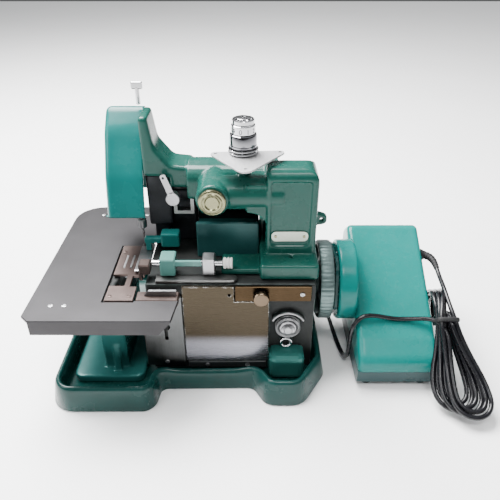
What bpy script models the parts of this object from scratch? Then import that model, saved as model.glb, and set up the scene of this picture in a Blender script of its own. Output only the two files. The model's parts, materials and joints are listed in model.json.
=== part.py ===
"""Serger overlock machine on a green tray, with its motor box, belt drive and mains cord.

Units are metres, +Z is up, X runs from the cloth plate to the motor box, Y runs to the back.
Lengths below are written in millimetres and scaled once by MM.
"""

import math

import bmesh
import bpy
from mathutils import Vector

MM = 0.001
GAP = 0.3                      # clearance left between neighbouring pieces

# Tray
TRAY_LEFT, TRAY_RIGHT = -173.0, 75.0
TRAY_FRONT, TRAY_BACK = -103.0, 103.0
TRAY_RIM, TRAY_FLOOR = 25.0, 6.0

# Cloth plate
PLATE_TOP, PLATE_THICK = 102.5, 2.5
PLATE_LEFT, PLATE_FRONT, PLATE_BACK = -178.0, -102.0, 93.0
LIP_DROP = 14.0

# Machine frame
FRAME_LEFT, FRAME_RIGHT = -85.0, 62.0
FRAME_FRONT, FRAME_BACK = -57.0, 62.0
FRAME_FOOT, DECK = 9.0, 106.0
COVER_THICK = 3.2
DIAL_X, DIAL_Z = 39.0, 58.5

# Arm, column and head
BLOCK_TOP = 121.5
COLUMN_LEFT, COLUMN_RIGHT, COLUMN_TOP = 18.5, 62.0, 200.0
COLUMN_FRONT = -33.0
COLUMN_SHOULDER = 12.0         # radius of the column's upper right edge
RECESS = 2.0                   # depth of the sunk field on the column's front
ARM_UNDER, ARM_TOP = 160.0, 191.0
BOSS_X, BOSS_Z, BOSS_R, BOSS_FRONT = -26.0, 174.0, 14.0, -36.0
HEAD_LEFT, HEAD_RIGHT = -123.0, -89.0

# Needle
NEEDLE_X, NEEDLE_Y = -95.0, 8.0
TAKE_UP_X, TAKE_UP_Z = -63.0, 160.5

# Tension unit
TENSION_X, TENSION_Y = -0.5, -10.0

# Drive
AXIS_Y, AXIS_Z = -1.0, 73.0
WHEEL_R = 38.0
PULLEY_R = 26.0
MOTOR_Y, MOTOR_Z, MOTOR_R = 23.0, 38.0, 26.0
MOTOR_PULLEY_R = 9.0
GUARD_LEFT, GUARD_RIGHT, GUARD_R = 86.7, 103.2, 38.5

# Motor box
BOX_LEFT, BOX_RIGHT = 103.5, 175.0
SEAM = 21.0
WALL = 2.5

# Mains cord
CORD_R = 2.1


def clear_scene():
    for item in list(bpy.data.objects):
        bpy.data.objects.remove(item, do_unlink=True)


def material(name, colour, metal, rough):
    made = bpy.data.materials.new(name)
    made.use_nodes = True
    shader = made.node_tree.nodes["Principled BSDF"]
    shader.inputs["Base Color"].default_value = (colour[0], colour[1], colour[2], 1.0)
    shader.inputs["Metallic"].default_value = metal
    shader.inputs["Roughness"].default_value = rough
    made.diffuse_color = (colour[0], colour[1], colour[2], 1.0)
    return made


FINISH = {
    "green": ((0.02, 0.27, 0.22), 0.1, 0.35),
    "teal": ((0.03, 0.36, 0.30), 0.1, 0.35),
    "dark": ((0.03, 0.035, 0.035), 0.6, 0.45),
    "steel": ((0.45, 0.46, 0.48), 1.0, 0.35),
    "chrome": ((0.8, 0.8, 0.82), 1.0, 0.12),
    "plate": ((0.16, 0.17, 0.2), 0.9, 0.45),
    "brown": ((0.12, 0.09, 0.08), 0.9, 0.4),
    "white": ((0.8, 0.8, 0.78), 0.0, 0.4),
    "black": ((0.01, 0.01, 0.01), 0.0, 0.35),
    "brass": ((0.5, 0.45, 0.33), 1.0, 0.35),
}


def mesh_from(verts, faces, bevel=0.0, segments=2):
    bm = bmesh.new()
    made = [bm.verts.new(Vector(v) * MM) for v in verts]
    for face in faces:
        bm.faces.new([made[i] for i in face])
    bmesh.ops.recalc_face_normals(bm, faces=bm.faces)
    if bevel > 0.0:
        sharp = [e for e in bm.edges if e.calc_face_angle(0.0) > math.radians(40)]
        bmesh.ops.bevel(bm, geom=sharp, offset=bevel * MM, segments=segments,
                        affect='EDGES', profile=0.5, clamp_overlap=True)
    mesh = bpy.data.meshes.new("work")
    bm.to_mesh(mesh)
    bm.free()
    return mesh


def spin_axis(axis, a, b, c):
    """Put an in-plane pair (a, b) and a height c along the named axis."""
    if axis == "x":
        return (c, a, b)
    if axis == "y":
        return (a, c, b)
    return (a, b, c)


def prism(axis, outline, low, high, bevel=0.0, segments=2):
    count = len(outline)
    verts = [spin_axis(axis, p[0], p[1], low) for p in outline]
    verts += [spin_axis(axis, p[0], p[1], high) for p in outline]
    faces = [tuple(range(count)), tuple(range(count, 2 * count))]
    for i in range(count):
        j = (i + 1) % count
        faces.append((i, j, j + count, i + count))
    return mesh_from(verts, faces, bevel, segments)


def box(x0, x1, y0, y1, z0, z1, bevel=0.0, segments=2):
    return prism("z", [(x0, y0), (x1, y0), (x1, y1), (x0, y1)], z0, z1, bevel, segments)


def lathe(axis, centre, profile, sides=32):
    """Turn a profile of (along, radius) about an axis; radius 0 closes to a pole."""
    verts = []
    rings = []
    for along, radius in profile:
        if radius == 0.0:
            rings.append([len(verts)])
            verts.append(spin_axis(axis, centre[0], centre[1], along))
            continue
        ring = []
        for k in range(sides):
            turn = 2 * math.pi * k / sides
            ring.append(len(verts))
            verts.append(spin_axis(axis, centre[0] + radius * math.cos(turn),
                                   centre[1] + radius * math.sin(turn), along))
        rings.append(ring)
    closed = profile[0][1] != 0.0
    pairs = list(zip(rings, rings[1:]))
    if closed:
        pairs.append((rings[-1], rings[0]))
    faces = []
    for low, high in pairs:
        for k in range(sides):
            n = (k + 1) % sides
            if len(low) == 1:
                faces.append((low[0], high[k], high[n]))
            elif len(high) == 1:
                faces.append((low[k], low[n], high[0]))
            else:
                faces.append((low[k], low[n], high[n], high[k]))
    return mesh_from(verts, faces)


def rod(axis, centre, low, high, radius, sides=32, chamfer=0.0):
    c = chamfer
    if c > 0.0:
        profile = [(low, 0.0), (low, radius - c), (low + c, radius),
                   (high - c, radius), (high, radius - c), (high, 0.0)]
    else:
        profile = [(low, 0.0), (low, radius), (high, radius), (high, 0.0)]
    return lathe(axis, centre, profile, sides)


def rounded(corners, steps=6):
    """Fillet each corner (a, b, radius) of an outline."""
    points = []
    count = len(corners)
    for i, (a, b, radius) in enumerate(corners):
        here = Vector((a, b))
        back = (Vector(corners[i - 1][:2]) - here).normalized()
        on = (Vector(corners[(i + 1) % count][:2]) - here).normalized()
        if radius <= 0.0:
            points.append((a, b))
            continue
        half = math.acos(max(-1.0, min(1.0, back.dot(on)))) / 2
        reach = radius / math.tan(half)
        middle = here + (back + on).normalized() * (radius / math.sin(half))
        first = here + back * reach - middle
        last = here + on * reach - middle
        start = math.atan2(first.y, first.x)
        sweep = math.atan2(last.y, last.x) - start
        sweep = (sweep + math.pi) % (2 * math.pi) - math.pi
        for k in range(steps + 1):
            turn = start + sweep * k / steps
            points.append((middle.x + radius * math.cos(turn), middle.y + radius * math.sin(turn)))
    return points


def inset(outline, amount):
    """Move a counter-clockwise outline inwards along its corner normals."""
    count = len(outline)
    moved = []
    for i in range(count):
        here = Vector(outline[i])
        d1 = (here - Vector(outline[i - 1])).normalized()
        d2 = (Vector(outline[(i + 1) % count]) - here).normalized()
        n1 = Vector((-d1.y, d1.x))
        n2 = Vector((-d2.y, d2.x))
        away = (n1 + n2).normalized()
        scale = amount / max(0.5, away.dot(n1))
        moved.append((here.x + away.x * scale, here.y + away.y * scale))
    return moved


def boolean(target, tool, operation):
    a = bpy.data.objects.new("target", target)
    b = bpy.data.objects.new("tool", tool)
    bpy.context.scene.collection.objects.link(a)
    bpy.context.scene.collection.objects.link(b)
    b.hide_render = True
    b.display_type = 'WIRE'
    step = a.modifiers.new("step", 'BOOLEAN')
    step.operation = operation
    step.solver = 'EXACT'
    step.object = b
    graph = bpy.context.evaluated_depsgraph_get()
    graph.update()
    result = bpy.data.meshes.new_from_object(a.evaluated_get(graph))
    bpy.data.objects.remove(a, do_unlink=True)
    bpy.data.objects.remove(b, do_unlink=True)
    return result


def fuse(first, *others):
    for other in others:
        first = boolean(first, other, 'UNION')
    return first


def cut(first, *others):
    for other in others:
        first = boolean(first, other, 'DIFFERENCE')
    return first


def place(name, mesh, finish, origin=(0.0, 0.0, 0.0)):
    """Name a piece, put its origin on its own axis and give it its own finish."""
    bm = bmesh.new()
    bm.from_mesh(mesh)
    bmesh.ops.remove_doubles(bm, verts=bm.verts, dist=1e-7)
    bmesh.ops.dissolve_degenerate(bm, edges=bm.edges, dist=1e-7)
    bmesh.ops.translate(bm, verts=bm.verts, vec=-Vector(origin) * MM)
    for face in bm.faces:
        face.smooth = True
    for edge in bm.edges:
        edge.smooth = edge.calc_face_angle(0.0) < math.radians(32)
    bm.to_mesh(mesh)
    bm.free()
    mesh.name = name
    mesh.materials.clear()
    colour, metal, rough = FINISH[finish]
    mesh.materials.append(material(name + "_finish", colour, metal, rough))
    item = bpy.data.objects.new(name, mesh)
    item.location = Vector(origin) * MM
    bpy.context.scene.collection.objects.link(item)
    return item


# ---------------------------------------------------------------- tray

def tray_outline():
    return rounded([
        (TRAY_LEFT, TRAY_FRONT, 22), (-79, TRAY_FRONT, 14), (-76, -76, 7), (8, -75, 9),
        (19, -96, 14), (52, -96, 18), (TRAY_RIGHT, -58, 16), (TRAY_RIGHT, TRAY_BACK, 18),
        (TRAY_LEFT, TRAY_BACK, 22)])


def build_tray():
    base = tray_outline()
    rings = []
    for amount, share in ((0.0, 0.0), (3.5, 0.8), (5.0, 0.95), (7.0, 1.0), (9.5, 0.93)):
        ring = []
        for (x, y), (ox, oy) in zip(inset(base, amount), base):
            dip = 6.0 if (oy < -50 and -70 < ox < 6) else 0.0
            ring.append((x, y, (TRAY_RIM - dip) * share))
        rings.append(ring)
    rings.append([(x, y, TRAY_FLOOR) for x, y in inset(base, 11.0)])
    count = len(base)
    verts = [p for ring in rings for p in ring]
    faces = [tuple(range(count)), tuple(range((len(rings) - 1) * count, len(rings) * count))]
    for r in range(len(rings) - 1):
        for i in range(count):
            j = (i + 1) % count
            faces.append((r * count + i, r * count + j, (r + 1) * count + j, (r + 1) * count + i))
    place("base_tray", mesh_from(verts, faces), "green")


# ---------------------------------------------------------------- cloth plate

def build_cloth_plate():
    outline = rounded([
        (PLATE_LEFT, -95, 0), (-171, PLATE_FRONT, 0), (-57.5, PLATE_FRONT, 0), (-54.4, -75, 0),
        (-91.5, -75, 0), (-91.5, -77, 0), (-117.5, -77, 0), (-117.5, 11.5, 0),
        (-88.0, 11.5, 0), (-88.0, PLATE_BACK, 0), (PLATE_LEFT, PLATE_BACK, 26)])
    sheet = prism("z", outline, PLATE_TOP - PLATE_THICK, PLATE_TOP, 0.6, 1)
    low = PLATE_TOP - LIP_DROP
    lip = prism("y", [(-171, PLATE_TOP - 1.2), (-171, low), (-68, low), (-57.5, PLATE_TOP - 1.2)],
                PLATE_FRONT, PLATE_FRONT + 2.4)
    place("cloth_plate", fuse(sheet, lip), "plate")


def build_bracket():
    top = PLATE_TOP - PLATE_THICK - GAP
    pad = prism("z", rounded([(-157, -73, 8), (-92, -73, 8), (-92, 45, 8), (-157, 45, 8)], 3),
                TRAY_FLOOR + GAP, 14, 1.0)
    pillar = box(-130, -108, -60, 20, 12, 64, 2.0)
    upper = box(-128, -112, -54, 14, 60, top, 1.5)
    fin = prism("x", [(-66, 13), (-50, 13), (-50, top - 8)], -120, -114)
    shelf = box(-150, -111, -44, 4, top - 9, top, 1.5)
    place("plate_bracket", fuse(pad, pillar, upper, fin, shelf), "green")


# ---------------------------------------------------------------- frame

def dial_arc():
    """Raised rib over the stitch dial, between two radii."""
    face = FRAME_FRONT + 5
    points = []
    for radius, turns in ((17.0, range(30, 156, 9)), (14.0, range(147, 25, -9))):
        for a in turns:
            turn = math.radians(a)
            points.append((DIAL_X + radius * math.cos(turn), DIAL_Z + radius * math.sin(turn)))
    return prism("y", points, face - 4.0, face + 1.0)


def lower_ring():
    face = FRAME_FRONT + 5
    return lathe("y", (38.0, 40.4), [
        (face + 1.0, 0.0), (face + 1.0, 6.0), (face - 3.0, 6.0), (face - 4.0, 5.0),
        (face - 4.0, 3.2), (face - 1.5, 3.0), (face - 1.5, 0.0)], 28)


def build_frame():
    body = box(FRAME_LEFT, FRAME_RIGHT, FRAME_FRONT, FRAME_BACK, FRAME_FOOT, DECK, 2.0)
    body = cut(body,
               box(22.5, FRAME_RIGHT + 5, FRAME_FRONT - 5, FRAME_FRONT + 5, 0, 89.5),
               box(-50, 17, FRAME_FRONT - 5, 24, 27, 97),
               rod("x", (AXIS_Y, AXIS_Z), 40, 80, 7.3, 24),
               box(-52, 19, FRAME_FRONT - 5, FRAME_BACK + 5, 0, 13.5))
    foot = box(22.2, 55, -70, -30, TRAY_FLOOR + GAP, 34, 6.0, 3)
    rear_right = box(24, 54, 28, 56, TRAY_FLOOR + GAP, 14)
    rear_left = box(-80, -56, 28, 56, TRAY_FLOOR + GAP, 14)
    front_left = box(-80, -56, -50, -22, TRAY_FLOOR + GAP, 14)
    body = fuse(body, foot, rear_right, rear_left, front_left, dial_arc(), lower_ring())
    place("machine_frame", body, "dark")


def build_front_plates():
    back = FRAME_FRONT - GAP
    front = back - COVER_THICK
    hinge = (0.0, front, 22.2)
    shape = [(-53.6, 22.2), (21.6, 22.2), (21.6, 89.8), (-8.6, 89.8), (-8.6, 105.5), (-53.6, 105.5)]
    panel = prism("y", shape, front, back, 0.5, 1)
    panel = cut(panel, rod("y", (-12.8, 97.0), front - 5, back + 5, 1.6, 16))
    place("front_cover", panel, "steel", hinge)
    strip = box(-8.0, 58.0, front, back, 90.4, 105.7, 0.5, 1)
    place("top_strip", strip, "chrome")
    knob = lathe("y", (14.5, 97.0), [
        (front - GAP, 0.0), (front - GAP, 4.0), (front - 2.0, 4.0), (front - 2.6, 7.0),
        (front - 7.0, 7.0), (front - 8.0, 5.6), (front - 8.0, 0.0)], 32)
    place("cover_knob", knob, "chrome", (14.5, front, 97.0))
    bar = box(-52.0, 20.0, back - 4.0, back, 14.2, 21.6, 0.6, 1)
    place("hinge_bar", bar, "dark")
    side = box(-90.0, -54.2, front, back, 16.0, 95.0, 0.6, 1)
    side = cut(side, rod("y", (-70, 62), front - 5, back + 5, 4.0, 24),
               box(-71.6, -68.4, front - 5, back + 5, 47, 62))
    place("side_panel", side, "steel")
    lever = prism("y", rounded([(-86, 76, 1.5), (-83, 72, 1.5), (-62, 84, 1.5), (-65, 88, 1.5)], 3),
                  front - 3.0, front - GAP)
    place("panel_lever", lever, "steel", (-64.5, front, 85.0))


def build_regulator():
    face = FRAME_FRONT + 5 - GAP
    dial = lathe("y", (DIAL_X, DIAL_Z), [
        (face, 0.0), (face, 11.5), (face - 2.2, 11.5), (face - 2.6, 10.4), (face - 4.6, 10.4),
        (face - 5.0, 11.5), (face - 7.0, 11.5), (face - 7.6, 8.0), (face - 6.4, 7.0),
        (face - 6.4, 4.0), (face - 10.0, 3.6), (face - 10.0, 0.0)], 28)
    place("stitch_dial", dial, "steel", (DIAL_X, face, DIAL_Z))


# ---------------------------------------------------------------- arm and head

def build_arm():
    low = DECK + GAP
    block = box(13.5, 64.0, -52.0, 58.0, low, BLOCK_TOP, 2.5, 3)
    column = prism("x", rounded([
        (COLUMN_FRONT, BLOCK_TOP - 4, 0), (50, BLOCK_TOP - 4, 0), (50, 166, 12),
        (-10, COLUMN_TOP, 8), (COLUMN_FRONT, COLUMN_TOP, 9)], 4), COLUMN_LEFT, COLUMN_RIGHT, 3.0, 2)
    recess = prism("y", rounded([(22.2, 129, 5), (56.5, 129, 5), (56.5, 190, 3), (22.2, 190, 3)], 3),
                   COLUMN_FRONT - 5, COLUMN_FRONT + RECESS)
    turn_x, turn_z = COLUMN_RIGHT - COLUMN_SHOULDER, COLUMN_TOP - COLUMN_SHOULDER
    shoulder = [(turn_x + COLUMN_SHOULDER * math.cos(a), turn_z + COLUMN_SHOULDER * math.sin(a))
                for a in [math.pi / 2 * k / 8 for k in range(9)]]
    shoulder += [(turn_x, COLUMN_TOP + 5), (COLUMN_RIGHT + 5, COLUMN_TOP + 5), (COLUMN_RIGHT + 5, turn_z)]
    corner = prism("y", shoulder, COLUMN_FRONT - 5, 60.0)
    bar = prism("x", rounded([
        (-5, ARM_UNDER, 3), (46, ARM_UNDER, 5), (46, 178, 12), (20, ARM_TOP, 20),
        (-5, ARM_TOP - 4, 12)], 4), -50.0, 30.0)
    neck = prism("y", rounded([
        (-66, ARM_UNDER + 8, 0), (-48, ARM_UNDER + 8, 0), (-46, 187.5, 0), (-64, 189.5, 9),
        (-77, 206, 16), (-81, 232, 3), (-88.5, 232, 0), (-88.5, 178.5, 0), (-66, 178.5, 0)], 4),
        2.0, 34.0, 3.0, 2)
    gusset = prism("y", rounded([
        (2, 186, 0), (24, 186, 0), (24, 141, 0), (COLUMN_LEFT + 1.2, 141, 0),
        (COLUMN_LEFT - 1.0, 160, 14), (2, 160, 0)], 5), -30.0, 20.0)
    stem = rod("y", (BOSS_X, BOSS_Z), BOSS_FRONT, 8, BOSS_R, 28, 1.5)
    tube = rod("x", (-18.0, 174.0), BOSS_X, 33.0, 14.5, 28)
    ledge = box(-20.0, 16.0, -44.0, -17.0, low + 0.4, 112.5, 1.5)
    ear = prism("y", rounded([(58, 138, 2), (73, 141, 4), (73, 149, 4), (58, 154, 2)], 4), -14, -8)
    ear = cut(ear, rod("y", (68.0, 145.0), -20, 0, 1.8, 16))
    seat = rod("z", (TENSION_X, TENSION_Y), 170.0, 204.3, 6.0, 28)
    oil_hole = rod("z", (41.0, -36.5), BLOCK_TOP - 6, BLOCK_TOP + 5, 1.8, 14)
    casting = fuse(cut(column, recess, corner), block, bar, neck, gusset, stem, tube, ear, seat, ledge)
    place("arm_casting", cut(casting, oil_hole), "green")
    plug = lathe("y", (BOSS_X, BOSS_Z), [
        (BOSS_FRONT - GAP, 0.0), (BOSS_FRONT - GAP, 11.5), (-38.6, 11.5), (-40.0, 10.0),
        (-40.0, 6.0), (-38.8, 5.2), (-38.8, 0.0)], 24)
    place("boss_plug", plug, "brass")
    panel = box(-43.0, 13.0, -14.0, -10.0, DECK + GAP, 142.0, 1.0, 1)
    filler = box(-41.0, 11.0, -12.0, 25.0, DECK + GAP, 139.0)
    wall = box(-43.4, 13.2, 20.5, 36.0, DECK + GAP, ARM_UNDER - 0.5, 1.0, 1)
    place("rear_panel", fuse(panel, filler, wall), "dark")
    badge = prism("y", rounded([(23.5, 134, 4), (55, 134, 4), (55, 143.5, 4), (23.5, 143.5, 4)], 4),
                  COLUMN_FRONT + 0.8, COLUMN_FRONT + RECESS - GAP)
    place("badge", badge, "chrome")


def head_outline():
    return rounded([
        (-7, 143, 2), (58, 143, 4), (62, 205, 20), (44, 234, 9), (22, 214, 34), (3, 178, 40)], 5)


def build_head():
    outline = head_outline()
    shell = prism("x", outline, HEAD_LEFT, HEAD_RIGHT, 3.0, 2)
    inner = [(-3.0, 138), (54, 138), (56, 200), (42, 226), (27, 212), (10, 184), (3.2, 169), (-2.0, 150)]
    shell = cut(shell, prism("x", inner, HEAD_LEFT + 3.5, HEAD_RIGHT + 5))
    place("head_cover", shell, "green")
    top = 233.0
    stem = rod("z", (-92.5, 36.0), top, top + 15, 1.9, 16, 0.3)
    wing = box(-97.5, -87.5, 34.4, 37.6, top + 13, top + 19.5, 1.0, 2)
    place("pressure_screw", fuse(stem, wing), "chrome", (-92.5, 36.0, top))


def build_needle():
    nx, ny = NEEDLE_X, NEEDLE_Y
    bar = rod("z", (nx, ny), 135.0, 165.0, 3.0, 20, 0.5)
    place("needle_bar", bar, "chrome", (nx, ny, 135.0))
    clamp = rod("z", (nx, ny), 126.0, 135.0 - GAP, 4.2, 20, 0.6)
    place("needle_clamp", clamp, "steel", (nx, ny, 126.0))
    needle = lathe("z", (nx, ny), [(103.4, 0.0), (107.0, 0.5), (118.0, 0.6), (120.0, 1.0),
                                   (126.0 - GAP, 1.0), (126.0 - GAP, 0.0)], 10)
    place("needle", needle, "chrome", (nx, ny, 110.0))
    housing = box(-88.0, -66.3, 8.0, 32.0, 128.0, 178.2, 2.0)
    foot = box(-84.0, -70.0, 12.0, 30.0, DECK + GAP, 130.0, 1.0)
    wing = box(-72.0, -44.0, 17.0, 38.0, DECK + GAP, ARM_UNDER - 0.5, 2.0)
    place("drive_housing", fuse(housing, foot, wing), "dark")
    px, pz = TAKE_UP_X, TAKE_UP_Z
    hub = rod("y", (px, pz), -6.0, 1.7, 6.2, 24, 0.6)
    arm = prism("y", rounded([(px - 3, pz, 0), (px + 3, pz + 1, 0), (px - 5.4, pz + 24, 2),
                              (px - 10.2, pz + 22.4, 2)], 3), -4.4, -2.2)
    arm = cut(arm, rod("y", (px - 7.2, pz + 20.2), -8, 2, 1.2, 12))
    place("take_up_lever", fuse(hub, arm), "chrome", (px, -2.0, pz))
    bracket = prism("y", [(-63, 145), (-45, 145), (-45, 159.6), (-48, 159.6), (-48, 148),
                          (-60, 148), (-60, 153.5), (-63, 153.5)], -2.0, 6.0)
    bracket = cut(bracket, rod("z", (-54.0, 2.0), 140, 155, 1.4, 12))
    place("thread_bracket", bracket, "chrome")


def build_presser():
    block = box(-77.0, -60.0, -7.0, 5.0, 112.0, 126.0, 1.5)
    arm = box(-92.5, -75.0, -5.0, 1.0, 115.0, 121.0, 1.0, 1)
    stem = box(-91.5, -86.5, -5.0, 0.5, 107.6, 117.0, 0.6, 1)
    place("presser_arm", fuse(block, arm, stem), "teal", (-68.0, -1.0, 119.0))
    foot = prism("x", rounded([(-40, 107.0, 1), (-34, 103.6, 1), (11, 103.6, 1), (11, 105.4, 0.6),
                               (2, 107.2, 1)], 3), -97.0, -85.5)
    slot = box(-96.2, -93.8, 4.0, 14.0, 90, 120)
    place("presser_foot", cut(foot, slot), "steel", (-91.0, -5.0, 103.6))


def build_needle_plate():
    z0, z1 = PLATE_TOP - 1.6, PLATE_TOP + 0.8
    shape = [(-116, -76), (-92, -76), (-92, -56), (-98, -56), (-98, -40), (-88, -40), (-88, 10.5),
             (-116, 10.5), (-116, -38), (-103, -38), (-103, -55), (-116, -55)]
    sheet = prism("z", shape, z0, z1, 0.3, 1)
    sheet = cut(sheet, box(-96.5, -93.5, 2.5, 12.0, 90, 110),
                box(-103.5, -101.5, -28, -6, 90, 110), box(-109.5, -107.5, -28, -6, 90, 110),
                rod("z", (-112.5, -1.0), 90, 110, 1.5, 12),
                rod("z", (-112.5, -70.0), 90, 110, 1.5, 12))
    place("needle_plate", sheet, "brown")
    dog = box(-103.2, -101.8, -27, -7, 94.0, PLATE_TOP + 1.2)
    carrier = box(-109.2, -101.8, -27, -7, 92.0, 96.0)
    second = box(-109.2, -107.8, -27, -7, 94.0, PLATE_TOP + 1.2)
    place("feed_dog", fuse(carrier, dog, second), "steel", (-105.5, -17.0, 94.0))


def build_knives():
    deck = DECK + GAP
    holder = box(-90.8, -55.0, -74.5, -61.0, 95.6, 102.0, 1.0, 1)
    place("lower_knife_holder", holder, "dark")
    blade = prism("y", [(-84, 102.3), (-57, 102.3), (-57, 107), (-80, 107)], -68.0, -66.0)
    place("lower_knife", blade, "chrome")
    slide = prism("z", rounded([(-76, -56, 1), (-6, -56, 4.8), (-6, -46, 4.8), (-76, -46, 1)], 4),
                  deck, 109.0, 0.4, 1)
    place("slide_plate", slide, "steel")
    base = 109.0 + GAP
    left = box(-72.0, -59.0, -50.0, -34.0, base, 126.0, 1.0, 1)
    rail = box(-62.0, -36.4, -49.0, -46.2, 119.0, 124.0, 0.4, 1)
    left = cut(fuse(left, rail), rod("x", (-42.0, 118.0), -80, -50, 3.4, 20))
    place("clamp_block_left", left, "teal")
    right = box(-36.0, -25.0, -49.0, -35.0, base, 125.0, 1.0, 1)
    right = cut(right, rod("x", (-42.0, 118.0), -45, -20, 3.4, 20))
    place("clamp_block_right", right, "steel")
    shaft = rod("x", (-42.0, 118.0), -80.0, -18.0 - GAP, 3.0, 20, 0.4)
    place("clamp_rod", shaft, "chrome", (-45.0, -42.0, 118.0))
    nut_sides = []
    for k in range(28):
        radius = 4.9 if k % 2 == 0 else 4.4
        turn = 2 * math.pi * k / 28
        nut_sides.append((-42.0 + radius * math.cos(turn), 118.0 + radius * math.sin(turn)))
    nut = prism("x", nut_sides, -18.0, -10.0)
    place("clamp_nut", nut, "white", (-14.0, -42.0, 118.0))
    arm = box(-90.0, -80.4, -52.0, -41.0, 112.0, 122.0, 1.0, 1)
    knife = prism("x", [(-52, 114), (-47, 114), (-47, 104.2), (-52, 106.5)], -90.0, -87.6)
    place("upper_knife", fuse(arm, knife), "steel", (-85.0, -45.0, 117.0))


# ---------------------------------------------------------------- tension unit

def build_tension():
    x, y = TENSION_X, TENSION_Y
    sheet = prism("z", rounded([(-31, -8, 4), (1, -54, 7), (38, -4, 4)], 5), 204.6, 206.2, 0.3, 1)
    sheet = fuse(sheet, rod("z", (x, y), 204.6, 206.2, 13.0, 40))
    for hx, hy in ((-23.5, -11.5), (1.4, -43.0), (30.0, -7.8)):
        sheet = cut(sheet, rod("z", (hx, hy), 195, 215, 1.5, 14))
    sheet = cut(sheet, rod("z", (x, y), 195, 215, 2.6, 24))
    place("guide_plate", sheet, "steel")
    post = rod("z", (x, y), 204.3 + GAP, 234.0, 2.2, 20, 0.4)
    place("tension_post", post, "chrome", (x, y, 204.6))
    z = 206.5
    for name, radius in (("tension_disc_lower", 12.5), ("tension_disc_upper", 12.5)):
        disc = lathe("z", (x, y), [(z, 2.6), (z, 8.0), (z + 0.9, radius), (z + 2.2, radius),
                                   (z + 1.5, 8.0), (z + 1.5, 2.6)], 24)
        place(name, disc, "chrome")
        z += 2.6
    sleeve = lathe("z", (x, y), [(z, 2.6), (z, 10.4), (z + 1.0, 11.2), (z + 11.0, 11.2),
                                 (z + 11.8, 10.4), (z + 11.8, 2.6)], 32)
    place("tension_sleeve", sleeve, "chrome")
    z += 12.1
    dial = lathe("z", (x, y), [(z, 2.6), (z, 9.8), (z + 5.6, 9.8), (z + 6.2, 9.0),
                               (z + 11.0, 8.8), (z + 11.8, 8.0), (z + 11.8, 2.6)], 32)
    place("tension_dial", dial, "chrome", (x, y, z))


# ---------------------------------------------------------------- drive

def build_wheel():
    y, z = AXIS_Y, AXIS_Z
    wheel = lathe("x", (y, z), [
        (66.0, 6.3), (66.0, 14.0), (70.0, 16.0), (74.0, 30.0), (69.0, 33.0), (69.0, 36.5),
        (70.5, WHEEL_R), (80.6, WHEEL_R), (82.0, 36.5), (82.0, 6.3)], 40)
    place("handwheel", wheel, "teal", (75.0, y, z))
    shaft = rod("x", (y, z), 44.0, 99.0, 6.0, 24, 0.5)
    place("main_shaft", shaft, "steel", (70.0, y, z))
    groove = lathe("x", (y, z), [
        (91.9, 6.3), (91.9, PULLEY_R + 1.2), (92.9, PULLEY_R + 1.2), (92.9, PULLEY_R),
        (99.0, PULLEY_R), (99.0, PULLEY_R + 1.2), (100.0, PULLEY_R + 1.2), (100.0, 6.3)], 32)
    place("main_pulley", groove, "dark", (96.0, y, z))


def keyhole(radius, lobe):
    """Outline round the wheel axis and the motor axis, with straight tangents."""
    a = Vector((AXIS_Y, AXIS_Z))
    b = Vector((MOTOR_Y, MOTOR_Z))
    span = (b - a).length
    heading = math.atan2((b - a).y, (b - a).x)
    tilt = math.acos((radius - lobe) / span)
    points = []
    steps = 28
    for k in range(steps + 1):
        turn = heading + tilt + (2 * math.pi - 2 * tilt) * k / steps
        points.append((a.x + radius * math.cos(turn), a.y + radius * math.sin(turn)))
    steps = 8
    for k in range(steps + 1):
        turn = heading - tilt + 2 * tilt * k / steps
        points.append((b.x + lobe * math.cos(turn), b.y + lobe * math.sin(turn)))
    return points


def build_guard():
    shell = prism("x", keyhole(GUARD_R, 15.0), GUARD_LEFT, GUARD_RIGHT, 1.0, 2)
    shell = cut(shell, prism("x", keyhole(GUARD_R - WALL, 12.5), GUARD_LEFT + 2.2, GUARD_RIGHT + 5),
                rod("x", (AXIS_Y, AXIS_Z), GUARD_LEFT - 5, GUARD_LEFT + 5, 8.0, 28))
    place("belt_guard", shell, "teal")
    flange = prism("x", rounded([(-36, 58, 10), (34, 40, 10), (37, 96, 14), (-24, 108, 14)], 5),
                   83.2, GUARD_LEFT - GAP, 0.5, 1)
    flange = cut(flange, rod("x", (AXIS_Y, AXIS_Z), 80, 95, 8.0, 28))
    place("guard_flange", flange, "green")
    pulley = lathe("x", (MOTOR_Y, MOTOR_Z), [
        (91.9, 0.0), (91.9, 10.0), (92.9, 10.0), (92.9, MOTOR_PULLEY_R), (99.0, MOTOR_PULLEY_R),
        (99.0, 10.0), (100.0, 10.0), (100.0, 3.0), (112.0, 3.0), (112.0, 0.0)], 32)
    place("motor_pulley", pulley, "steel", (96.0, MOTOR_Y, MOTOR_Z))
    belt = cut(prism("x", keyhole(PULLEY_R + 1.9, MOTOR_PULLEY_R + 1.9), 93.3, 98.6),
               prism("x", keyhole(PULLEY_R + GAP, MOTOR_PULLEY_R + GAP), 90, 102))
    place("drive_belt", belt, "black")


def box_outline():
    return rounded([
        (-75, SEAM, 0), (68, SEAM, 0), (66, 92, 13), (47, 106.5, 8), (-58, 46, 15), (-74, 32, 16)], 6)


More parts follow.
